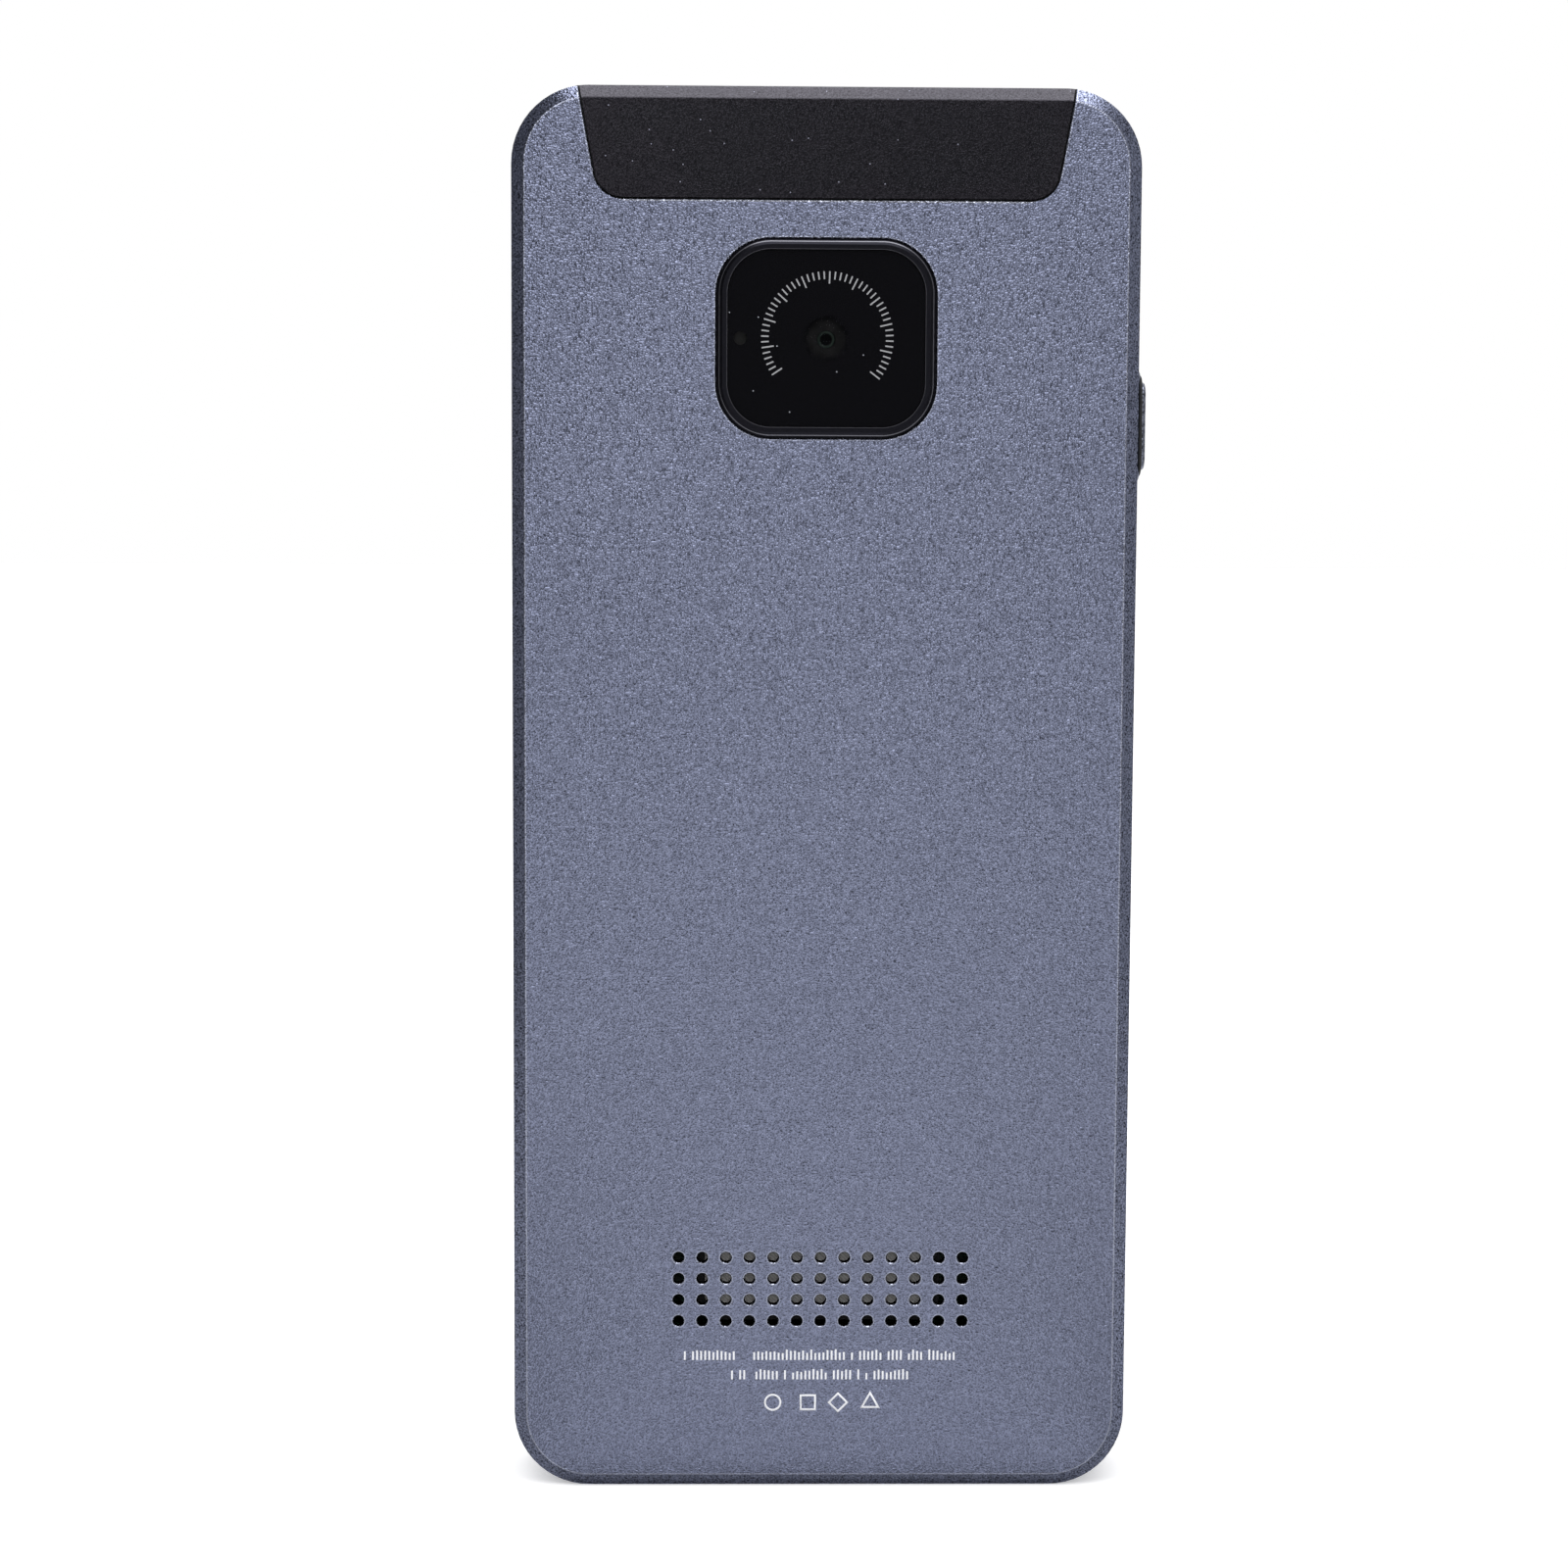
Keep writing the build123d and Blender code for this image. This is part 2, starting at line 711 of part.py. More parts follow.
membrane_back = speaker_front + membrane_thickness
groove_length = speaker_width - 2 * membrane_groove_margin
groove_breadth = speaker_height - 2 * membrane_groove_margin
with BuildPart() as speaker_membrane:
    # The grey membrane, with the shallow oval groove that lets it move.
    with BuildSketch(layer(membrane_back)):
        speaker_outline()
    extrude(amount=membrane_thickness)
    with BuildSketch(layer(speaker_front + membrane_groove_depth)):
        with Locations((speaker_offset, speaker_z)):
            SlotOverall(groove_length, groove_breadth)
            SlotOverall(
                groove_length - 2 * membrane_groove_width,
                groove_breadth - 2 * membrane_groove_width,
                mode=Mode.SUBTRACT,
            )
    extrude(amount=membrane_groove_depth, mode=Mode.SUBTRACT)
speaker_membrane.part.label = "speaker_membrane"
export_step(speaker_membrane.part, "parts/speaker_membrane.step")

speaker_cavity_floor = speaker_back - speaker_magnet_height
with BuildPart() as speaker_case:
    with BuildSketch(layer(speaker_back)):
        speaker_outline()
    extrude(amount=speaker_back - membrane_back)
    with BuildSketch(layer(speaker_cavity_floor)):
        speaker_outline(-speaker_case_wall)
    extrude(amount=speaker_cavity_floor - membrane_back, mode=Mode.SUBTRACT)
    with BuildSketch(layer(speaker_back)):
        with Locations((speaker_offset, speaker_z)):
            Circle(speaker_magnet_diameter / 2)
    extrude(amount=speaker_magnet_height, mode=Mode.SUBTRACT)
speaker_case.part.label = "speaker_case"
export_step(speaker_case.part, "parts/speaker_case.step")

with BuildPart() as speaker_magnet:
    with BuildSketch(layer(speaker_back)):
        with Locations((speaker_offset, speaker_z)):
            Circle(speaker_magnet_diameter / 2)
    extrude(amount=speaker_magnet_height)
speaker_magnet.part.label = "speaker_magnet"
export_step(speaker_magnet.part, "parts/speaker_magnet.step")

with BuildPart() as speaker_gasket:
    # Foam round the loudspeaker, glued to the back wall beside the outer grille holes.
    with BuildSketch(layer(back_inside + gasket_depth)):
        speaker_outline(gasket_width)
        speaker_outline(0, mode=Mode.SUBTRACT)
    extrude(amount=gasket_depth)
speaker_gasket.part.label = "speaker_gasket"
export_step(speaker_gasket.part, "parts/speaker_gasket.step")


def spring_finger(foot, tip, z):
    """The side view of a bent contact spring: flat foot, sloping arm and flat tip."""
    foot_y = foot + (spring_metal / 2 if tip > foot else -spring_metal / 2)
    tip_y = tip - (spring_metal / 2 if tip > foot else -spring_metal / 2)
    with BuildLine() as arm:
        Polyline(
            (foot_y, z - spring_length / 2),
            (foot_y, z + spring_length / 2),
            (tip_y, z - spring_length / 4),
            (tip_y, z + spring_length / 2),
        )
    trace(arm.line, line_width=spring_metal)


with BuildPart() as speaker_contacts:
    for side in (-1, 1):
        with BuildSketch(Plane.YZ.offset(speaker_offset + side * speaker_spring_spacing)) as finger:
            spring_finger(sub_board_back, speaker_back, speaker_z)
        extrude(finger.sketch, amount=spring_width / 2, both=True)
speaker_contacts.part.label = "speaker_contacts"
export_step(speaker_contacts.part, "parts/speaker_contacts.step")


# ---------------------------------------------------------------- boards
with BuildPart() as main_board:
    with BuildSketch(layer(main_board_front)):
        with Locations((0, main_board_bottom + main_board_height / 2)):
            RectangleRounded(main_board_width, main_board_height, board_corner)
        with Locations((0, camera_z)):
            Rectangle(lens_module + 2 * trim_gap, lens_module + 2 * trim_gap, mode=Mode.SUBTRACT)
        with Locations(*main_posts):
            Circle(screw_hole, mode=Mode.SUBTRACT)
    extrude(amount=board_thickness)
main_board.part.label = "main_board"
export_step(main_board.part, "parts/main_board.step")

with BuildPart() as sub_board:
    with BuildSketch(layer(sub_board_front)):
        with Locations((0, sub_board_from_bottom + sub_board_height / 2)):
            RectangleRounded(sub_board_width, sub_board_height, board_corner)
        with Locations(*sub_posts):
            Circle(screw_hole, mode=Mode.SUBTRACT)
    extrude(amount=board_thickness)
sub_board.part.label = "sub_board"
export_step(sub_board.part, "parts/sub_board.step")


def shield_can(x, z, can_width, can_height):
    """A pressed steel can, open towards the board's front face."""
    with BuildSketch(layer(main_board_front + can_depth)) as can_top:
        with Locations((x, z)):
            RectangleRounded(can_width, can_height, can_corner)
    extrude(can_top.sketch, amount=can_depth)
    with BuildSketch(layer(main_board_front + can_depth - can_wall)) as can_room:
        with Locations((x, z)):
            RectangleRounded(can_width - 2 * can_wall, can_height - 2 * can_wall, can_corner - can_wall)
    extrude(can_room.sketch, amount=can_depth - can_wall, mode=Mode.SUBTRACT)


with BuildPart() as processor_can:
    shield_can(processor_can_offset, processor_can_z, processor_can_width, processor_can_height)
processor_can.part.label = "processor_can"
export_step(processor_can.part, "parts/processor_can.step")

with BuildPart() as radio_can:
    shield_can(radio_can_offset, radio_can_z, radio_can_width, radio_can_height)
radio_can.part.label = "radio_can"
export_step(radio_can.part, "parts/radio_can.step")


def chip(x, z, chip_width, chip_height):
    """A chip that lies on the main board's front face."""
    with BuildSketch(layer(main_board_front + chip_depth)) as chip_face:
        with Locations((x, z)):
            Rectangle(chip_width, chip_height)
    extrude(chip_face.sketch, amount=chip_depth)


with BuildPart() as processor:
    chip(processor_x, processor_can_z, processor_size, processor_size)
processor.part.label = "processor"
export_step(processor.part, "parts/processor.step")

with BuildPart() as memory_chip:
    chip(memory_x, processor_can_z, memory_width, memory_height)
memory_chip.part.label = "memory_chip"
export_step(memory_chip.part, "parts/memory_chip.step")

with BuildPart() as radio_chip:
    chip(radio_can_offset, radio_can_z, radio_chip_size, radio_chip_size)
radio_chip.part.label = "radio_chip"
export_step(radio_chip.part, "parts/radio_chip.step")

with BuildPart() as thermal_pad:
    with BuildSketch(layer(frame_back)):
        with Locations((processor_can_offset, processor_can_z)):
            Rectangle(
                processor_can_width - 2 * thermal_pad_margin,
                processor_can_height - 2 * thermal_pad_margin,
            )
    extrude(amount=frame_back - main_board_front - can_depth)
thermal_pad.part.label = "thermal_pad"
export_step(thermal_pad.part, "parts/thermal_pad.step")

with BuildPart() as board_sockets:
    # Display, battery and link sockets on the main board.
    with BuildSketch(layer(main_board_front + socket_height)):
        with Locations((display_socket_x, display_socket_z)):
            Rectangle(socket_width, socket_length)
        with Locations((battery_lead_offset, link_main_z)):
            Rectangle(battery_lead_width, socket_length)
        with Locations((link_x, link_main_z)):
            Rectangle(link_width, socket_length)
    extrude(amount=socket_height)
board_sockets.part.label = "board_sockets"
export_step(board_sockets.part, "parts/board_sockets.step")

with BuildPart() as link_socket:
    with BuildSketch(layer(sub_board_back)):
        with Locations((link_x, link_sub_z)):
            Rectangle(link_width, socket_length)
    extrude(amount=socket_height)
link_socket.part.label = "link_socket"
export_step(link_socket.part, "parts/link_socket.step")

with BuildPart() as link_flex:
    # Joins the two boards across the front of the battery.
    with BuildSketch(Plane.YZ.offset(link_x)):
        with BuildLine():
            Polyline(
                (link_face, link_sub_z - socket_length / 2),
                (link_face, link_sub_z + socket_length),
                (over_battery, battery_bottom - link_clearance),
                (over_battery, battery_top + link_clearance),
                (socket_face, link_main_z - socket_length),
                (socket_face, link_main_z + socket_length / 2),
            )
        trace(line_width=flex_thickness)
    extrude(amount=link_width / 2 - link_clearance, both=True)
link_flex.part.label = "link_flex"
export_step(link_flex.part, "parts/link_flex.step")


# ---------------------------------------------------------------- battery
with BuildPart() as battery_cell:
    with BuildSketch(layer(battery_front)):
        with Locations((0, battery_z)):
            RectangleRounded(battery_width, battery_height, battery_corner)
    extrude(amount=battery_thickness)
    fillet(battery_cell.edges().group_by(Axis.Y)[0], battery_edge_radius)
    fillet(battery_cell.edges().group_by(Axis.Y)[-1], battery_edge_radius)
battery_cell.part.label = "battery_cell"
export_step(battery_cell.part, "parts/battery_cell.step")

with BuildPart() as battery_adhesive:
    with BuildSketch(layer(battery_back)):
        with Locations((-battery_tape_offset, battery_z), (battery_tape_offset, battery_z)):
            Rectangle(battery_tape_width, battery_height - 2 * battery_tape_margin)
    extrude(amount=battery_tape)
battery_adhesive.part.label = "battery_adhesive"
export_step(battery_adhesive.part, "parts/battery_adhesive.step")

protection_z = battery_top + protection_height / 2
protection_front = battery_front - battery_thickness / 2
with BuildPart() as protection_board:
    with BuildSketch(layer(protection_front)):
        with Locations((0, protection_z)):
            Rectangle(protection_width, protection_height)
    extrude(amount=protection_thickness)
protection_board.part.label = "protection_board"
export_step(protection_board.part, "parts/protection_board.step")

with BuildPart() as battery_lead:
    lead_start = protection_front + flex_thickness / 2
    with BuildSketch(Plane.YZ.offset(battery_lead_offset + battery_lead_width / 2)):
        with BuildLine():
            Polyline(
                (lead_start, battery_top + link_clearance),
                (lead_start, protection_z + protection_height / 2),
                (socket_face, link_main_z - socket_length),
                (socket_face, link_main_z + socket_length / 2),
            )
        trace(line_width=flex_thickness)
    extrude(amount=-battery_lead_width)
battery_lead.part.label = "battery_lead"
export_step(battery_lead.part, "parts/battery_lead.step")

with BuildPart() as battery_pad:
    with BuildSketch(layer(frame_back)):
        with Locations((battery_pad_offset, battery_z)):
            Rectangle(battery_pad_width, battery_pad_height)
    extrude(amount=frame_back - battery_front)
battery_pad.part.label = "battery_pad"
export_step(battery_pad.part, "parts/battery_pad.step")


# ---------------------------------------------------------------- antenna
with BuildPart() as antenna_flex:
    # A printed loop on film, stuck to the inside of the plastic window.
    with BuildSketch(layer(antenna_face + flex_thickness)):
        with Locations((0, antenna_z)):
            RectangleRounded(antenna_width, antenna_height, antenna_corner)
        with Locations((antenna_slit_offset, antenna_z)):
            Rectangle(antenna_slit_width, antenna_slit_height, mode=Mode.SUBTRACT)
    extrude(amount=flex_thickness)
antenna_flex.part.label = "antenna_flex"
export_step(antenna_flex.part, "parts/antenna_flex.step")

with BuildPart() as antenna_contacts:
    outer_spring = antenna_width / 2 - antenna_spring_from_end
    for place in (outer_spring - antenna_spring_spacing, outer_spring):
        with BuildSketch(Plane.YZ.offset(place)) as finger:
            spring_finger(main_board_back, antenna_face + flex_thickness, antenna_z)
        extrude(finger.sketch, amount=spring_width / 2, both=True)
antenna_contacts.part.label = "antenna_contacts"
export_step(antenna_contacts.part, "parts/antenna_contacts.step")


# ---------------------------------------------------------------- charging socket
with BuildPart() as usb_shell:
    with BuildSketch(Plane.XY.offset(usb_recess)):
        with Locations((0, usb_y)):
            SlotOverall(usb_width, usb_height)
    extrude(amount=usb_depth)
    with BuildSketch(Plane.XY.offset(usb_recess)):
        with Locations((0, usb_y)):
            SlotOverall(usb_width - 2 * usb_wall, usb_height - 2 * usb_wall)
    extrude(amount=usb_depth - usb_wall, mode=Mode.SUBTRACT)
usb_shell.part.label = "usb_shell"
export_step(usb_shell.part, "parts/usb_shell.step")

with BuildPart() as usb_tongue:
    with BuildSketch(Plane.XY.offset(usb_recess + usb_depth - usb_wall - usb_base_depth)):
        with Locations((0, usb_y)):
            SlotOverall(usb_width - 2 * usb_wall, usb_height - 2 * usb_wall)
    extrude(amount=usb_base_depth)
    with BuildSketch(Plane.XY.offset(usb_recess + usb_tongue_recess)):
        with Locations((0, usb_y)):
            Rectangle(usb_tongue_width, usb_tongue_thickness)
    extrude(amount=usb_depth - usb_wall - usb_base_depth - usb_tongue_recess)
usb_tongue.part.label = "usb_tongue"
export_step(usb_tongue.part, "parts/usb_tongue.step")


# ---------------------------------------------------------------- bottom microphones
with BuildPart() as bottom_mic_boots:
    with BuildSketch(Plane.XY.offset(side_wall)):
        with Locations(*bottom_mic_places):
            RectangleRounded(bottom_mic_length, usb_height - 2 * slide_gap, bottom_boot_corner)
            Circle(bottom_mic_hole / 2, mode=Mode.SUBTRACT)
    extrude(amount=bottom_boot_depth)
bottom_mic_boots.part.label = "bottom_mic_boots"
export_step(bottom_mic_boots.part, "parts/bottom_mic_boots.step")

with BuildPart() as bottom_microphones:
    with BuildSketch(Plane.XY.offset(side_wall + bottom_boot_depth)):
        with Locations(*[(x, sub_board_back - bottom_mic_height / 2) for x, y in bottom_mic_places]):
            Rectangle(bottom_mic_length - 2 * slide_gap, bottom_mic_height)
    extrude(amount=bottom_mic_depth)
bottom_microphones.part.label = "bottom_microphones"
export_step(bottom_microphones.part, "parts/bottom_microphones.step")


# ---------------------------------------------------------------- mid frame
with BuildPart() as mid_frame:
    with BuildSketch(layer(ledge)):
        case_outline(frame_inset)
    extrude(amount=ledge - frame_back)
    # the bay for the display, open to the front
    with BuildSketch(layer(ledge)):
        case_outline(frame_opening_inset)
        with Locations((0, display_from_bottom - seat_gap)):
            Rectangle(width, 2 * height, align=(Align.CENTER, Align.MAX), mode=Mode.SUBTRACT)
    extrude(amount=ledge - frame_front, mode=Mode.SUBTRACT)
    # wells that guide the talk keys
    with BuildSketch(layer(ledge)):
        for place in talk_key_places:
            talk_key_outline(place, talk_key_flange + talk_key_well_gap)
    extrude(amount=ledge - frame_back, mode=Mode.SUBTRACT)
    # room for the heads of the lower board's screws
    with BuildSketch(layer(sub_board_front + screw_head_height + seat_gap)):
        with Locations(*sub_posts):
            Circle(screw_head_radius + seat_gap)
    extrude(amount=screw_head_height + seat_gap, mode=Mode.SUBTRACT)
    # slot for the display's ribbon
    with BuildSketch(layer(frame_front)):
        with Locations((display_socket_x, display_flex_slot_z)):
            SlotOverall(socket_width + 2 * flex_slot_gap, flex_slot_height)
    extrude(amount=frame_plate, mode=Mode.SUBTRACT)
    # countersunk screws
    for x, z in frame_posts:
        seat = frame_front if z > display_from_bottom else ledge
        with Locations(layer(seat)):
            with Locations((x, z)):
                Cylinder(
                    screw_hole,
                    seat - frame_back,
                    align=(Align.CENTER, Align.CENTER, Align.MIN),
                    mode=Mode.SUBTRACT,
                )
                Cylinder(
                    frame_screw_head_radius + screw_hole_gap,
                    seat - frame_back - frame_plate + frame_screw_sunk + frame_screw_head_height,
                    align=(Align.CENTER, Align.CENTER, Align.MIN),
                    mode=Mode.SUBTRACT,
                )
mid_frame.part.label = "mid_frame"
export_step(mid_frame.part, "parts/mid_frame.step")


# ---------------------------------------------------------------- display and cover glass
with BuildPart() as display_panel:
    with BuildSketch(layer(glass_back)):
        with Locations((0, display_z)):
            Rectangle(display_width, display_height)
    extrude(amount=panel_thickness)
display_panel.part.label = "display_panel"
export_step(display_panel.part, "parts/display_panel.step")

with BuildPart() as display_backlight:
    with BuildSketch(layer(panel_back)):
        with Locations((0, display_z)):
            RectangleRounded(
                display_width - 2 * backlight_border,
                display_height - 2 * backlight_border,
                backlight_corner,
            )
    extrude(amount=backlight_thickness)
display_backlight.part.label = "display_backlight"
export_step(display_backlight.part, "parts/display_backlight.step")

with BuildPart() as display_flex:
    # Folds over the top of the display, through the frame and down to its socket.
    panel_middle = (glass_back + panel_back) / 2
    behind_frame = frame_back - 2 * flex_thickness
    with BuildSketch(Plane.YZ.offset(display_socket_x)):
        with BuildLine():
            Polyline(
                (panel_middle, display_top),
                (panel_middle, display_flex_slot_z),
                (behind_frame, display_flex_slot_z),
                (behind_frame, display_socket_z + socket_length),
                (socket_face, display_socket_z + socket_length / 2),
                (socket_face, display_socket_z - socket_length / 2),
            )
        trace(line_width=flex_thickness)
    extrude(amount=socket_width / 2, both=True)
display_flex.part.label = "display_flex"
export_step(display_flex.part, "parts/display_flex.step")

with BuildPart() as cover_glass:
    with BuildSketch(layer(front)):
        case_outline(rim_wall + seat_gap)
        for place in talk_key_places:
            talk_key_outline(place, talk_key_opening_gap, mode=Mode.SUBTRACT)
    extrude(amount=glass_thickness)
    fillet(cover_glass.edges().group_by(Axis.Y)[-1], glass_edge_radius)
cover_glass.part.label = "cover_glass"
export_step(cover_glass.part, "parts/cover_glass.step")

with BuildPart() as glass_adhesive:
    with BuildSketch(layer(glass_back)):
        case_outline(rim_wall + 2 * seat_gap)
        with Locations((0, display_z)):
            Rectangle(display_width + 2 * seat_gap, display_height + 2 * seat_gap, mode=Mode.SUBTRACT)
        with Locations((display_socket_x, display_top)):
            Rectangle(
                socket_width + 2 * flex_slot_gap,
                2 * display_flex_fold + flex_slot_height,
                mode=Mode.SUBTRACT,
            )
        for place in talk_key_places:
            talk_key_outline(place, talk_key_flange, mode=Mode.SUBTRACT)
    extrude(amount=adhesive_thickness)
glass_adhesive.part.label = "glass_adhesive"
export_step(glass_adhesive.part, "parts/glass_adhesive.step")


# ---------------------------------------------------------------- talk keys
for place, node in zip(talk_key_places, talk_key_names):
    with BuildPart() as talk_key:
        with BuildSketch(layer(front + talk_key_proud)):
            talk_key_outline(place)
        extrude(amount=front + talk_key_proud - talk_flange_back)
        fillet(talk_key.edges().group_by(Axis.Y)[-1], talk_key_radius)
        with BuildSketch(layer(talk_flange_front)):
            talk_key_outline(place, talk_key_flange)
        extrude(amount=talk_key_flange_thickness)
    talk_key.part.label = node
    export_step(talk_key.part, f"parts/{node}.step")

    with BuildPart() as talk_plunger:
        with BuildSketch(layer(talk_flange_back)):
            with Locations(place):
                Circle(talk_plunger_radius)
        extrude(amount=talk_flange_back - talk_switch_front + talk_plunger_sunk)
    talk_plunger.part.label = f"{node}_plunger"
    export_step(talk_plunger.part, f"parts/{node}_plunger.step")

with BuildPart() as talk_switches:
    with BuildSketch(layer(talk_switch_front)):
        with Locations(*talk_key_places):
            RectangleRounded(talk_switch_length, talk_switch_width, talk_switch_corner)
    extrude(amount=talk_switch_front - sub_board_front)
    with BuildSketch(layer(talk_switch_front)):
        with Locations(*talk_key_places):
            Circle(talk_plunger_radius + plunger_gap)
    extrude(amount=talk_plunger_sunk + talk_key_travel + plunger_stop, mode=Mode.SUBTRACT)
talk_switches.part.label = "talk_switches"
export_step(talk_switches.part, "parts/talk_switches.step")


# ---------------------------------------------------------------- side key
with BuildPart() as side_key_collar:
    with BuildSketch(Plane.YZ.offset(collar_inside)):
        side_slot(collar_length, collar_width)
    extrude(amount=width / 2 + collar_proud - collar_inside)
    chamfer(side_key_collar.edges().group_by(Axis.X)[-1], collar_chamfer)
    with BuildSketch(Plane.YZ.offset(collar_inside)):
        side_slot(collar_length + 2 * collar_flange, collar_width + 2 * collar_flange)
    extrude(amount=collar_flange_thickness)
    with BuildSketch(Plane.YZ.offset(collar_inside)):
        side_slot(side_key_length + 2 * slide_gap, side_key_width + 2 * slide_gap)
    extrude(amount=width / 2 + collar_proud - collar_inside, mode=Mode.SUBTRACT)
side_key_collar.part.label = "side_key_collar"
export_step(side_key_collar.part, "parts/side_key_collar.step")

with BuildPart() as side_key:
    with BuildSketch(Plane.YZ.offset(side_flange_inner)):
        side_slot(side_key_length, side_key_width)
    extrude(amount=width / 2 + side_key_proud - side_flange_inner)
    fillet(side_key.edges().group_by(Axis.X)[-1], side_key_radius)
    with BuildSketch(Plane.YZ.offset(side_flange_inner)):
        side_slot(side_key_length + 2 * side_key_flange, side_key_width + 2 * side_key_flange)
    extrude(amount=side_key_flange_thickness)
side_key.part.label = "side_key"
export_step(side_key.part, "parts/side_key.step")

with BuildPart() as side_key_plunger:
    with BuildSketch(Plane.YZ.offset(side_flange_inner)):
        with Locations((side_key_y, side_key_z)):
            Circle(side_plunger_radius)
    extrude(amount=side_switch_outer - side_plunger_sunk - side_flange_inner)
side_key_plunger.part.label = "side_key_plunger"
export_step(side_key_plunger.part, "parts/side_key_plunger.step")

with BuildPart() as side_switch:
    with BuildSketch(Plane.YZ.offset(side_switch_inner)):
        with Locations((side_key_y, side_key_z)):
            Rectangle(side_switch_width, side_switch_length)
    extrude(amount=side_switch_depth)
    with BuildSketch(Plane.YZ.offset(side_switch_outer)):
        with Locations((side_key_y, side_key_z)):
            Circle(side_plunger_radius + plunger_gap)
    extrude(amount=-side_plunger_sunk - side_key_travel - plunger_stop, mode=Mode.SUBTRACT)
side_switch.part.label = "side_switch"
export_step(side_switch.part, "parts/side_switch.step")

with BuildPart() as side_key_flex:
    with BuildSketch(Plane.YZ.offset(side_flex_inner)):
        with Locations((side_key_y, side_key_z)):
            Rectangle(side_switch_width, bracket_length)
    extrude(amount=flex_thickness)
side_key_flex.part.label = "side_key_flex"
export_step(side_key_flex.part, "parts/side_key_flex.step")

with BuildPart() as side_key_bracket:
    # A steel angle: its foot is bonded to the back wall, its upright carries the switch.
    with BuildSketch(layer(back_inside + bracket_thickness)):
        with Locations((side_flex_inner - bracket_thickness, side_key_z)):
            Rectangle(bracket_foot, bracket_length, align=(Align.MIN, Align.CENTER))
    extrude(amount=bracket_thickness)
    bracket_front = side_key_y + side_switch_width / 2 + bracket_rise
    with BuildSketch(layer(bracket_front)):
        with Locations((side_flex_inner - bracket_thickness, side_key_z)):
            Rectangle(bracket_thickness, bracket_length, align=(Align.MIN, Align.CENTER))
    extrude(amount=bracket_front - back_inside)
side_key_bracket.part.label = "side_key_bracket"
export_step(side_key_bracket.part, "parts/side_key_bracket.step")


# ---------------------------------------------------------------- screws
def cross_slot():
    """Cuts a cross recess into a screw head whose face is the current plane."""
    for turn in (0, 90):
        Box(
            screw_slot_length,
            screw_slot_width,
            screw_slot_depth,
            rotation=(0, 0, turn),
            align=(Align.CENTER, Align.CENTER, Align.MIN),
            mode=Mode.SUBTRACT,
        )


with BuildPart() as board_screws:
    for seat, places in ((main_board_front, main_posts), (sub_board_front, sub_posts)):
        with Locations(layer(seat + screw_head_height)):
            with Locations(*places):
                Cylinder(
                    screw_head_radius, screw_head_height, align=(Align.CENTER, Align.CENTER, Align.MIN)
                )
                Cylinder(
                    screw_radius,
                    screw_head_height + screw_length,
                    align=(Align.CENTER, Align.CENTER, Align.MIN),
                )
                cross_slot()
board_screws.part.label = "board_screws"
export_step(board_screws.part, "parts/board_screws.step")

with BuildPart() as frame_screws:
    with Locations(layer(frame_front - frame_screw_sunk)):
        with Locations(*frame_posts):
            Cylinder(
                frame_screw_head_radius,
                frame_screw_head_height,
                align=(Align.CENTER, Align.CENTER, Align.MIN),
            )
            Cylinder(screw_radius, screw_length, align=(Align.CENTER, Align.CENTER, Align.MIN))
            cross_slot()
frame_screws.part.label = "frame_screws"
export_step(frame_screws.part, "parts/frame_screws.step")
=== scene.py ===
# %% [markdown]
# A handheld translator, seen from its back: an anodised aluminium tub, a black antenna window
# across its top end, a camera window with a bevelled trim, a loudspeaker grille and a side key.
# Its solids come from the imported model, which loads as a fixed frame with every piece in its
# real place. Blender adds what a solid can't say: the finish of each surface, the fine print
# and the studio around it. All lengths here are in metres, as Blender wants them, so sizes
# that a maker would give in millimetres are multiplied by MM.

# %% Load the frame
import json
import math

import bmesh
import bpy
from mathutils import Matrix, Vector


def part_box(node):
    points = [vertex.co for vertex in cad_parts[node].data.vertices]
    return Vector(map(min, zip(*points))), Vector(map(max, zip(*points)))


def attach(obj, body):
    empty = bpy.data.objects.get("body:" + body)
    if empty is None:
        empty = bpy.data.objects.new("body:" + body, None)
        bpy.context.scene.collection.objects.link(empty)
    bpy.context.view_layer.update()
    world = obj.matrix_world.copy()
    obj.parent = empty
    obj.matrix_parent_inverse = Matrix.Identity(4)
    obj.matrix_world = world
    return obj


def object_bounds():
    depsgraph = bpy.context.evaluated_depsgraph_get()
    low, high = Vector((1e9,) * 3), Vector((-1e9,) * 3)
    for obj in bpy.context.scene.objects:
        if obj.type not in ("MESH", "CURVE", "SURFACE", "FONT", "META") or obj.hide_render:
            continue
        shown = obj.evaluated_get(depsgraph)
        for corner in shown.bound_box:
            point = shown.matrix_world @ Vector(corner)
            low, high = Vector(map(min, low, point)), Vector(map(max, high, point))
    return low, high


MM = 0.001

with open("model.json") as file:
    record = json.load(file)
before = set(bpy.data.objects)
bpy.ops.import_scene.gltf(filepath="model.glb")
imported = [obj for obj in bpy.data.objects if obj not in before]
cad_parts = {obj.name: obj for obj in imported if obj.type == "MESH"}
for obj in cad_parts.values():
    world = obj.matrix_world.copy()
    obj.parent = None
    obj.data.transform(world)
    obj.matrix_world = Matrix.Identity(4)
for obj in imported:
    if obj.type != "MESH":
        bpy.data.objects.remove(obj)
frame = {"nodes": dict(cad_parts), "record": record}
cad_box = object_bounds()
scene = bpy.context.scene

# %% [markdown]
# The camera stands at about two thirds of the device's height, 270 mm in front of its back,
# and looks down by five degrees. A product photographer would use a short telephoto lens
# here, so that the sides run almost parallel. The turn is given as three angles, which is
# easier to read than a matrix: yaw about the upright axis, pitch up or down, and a hair of
# roll.

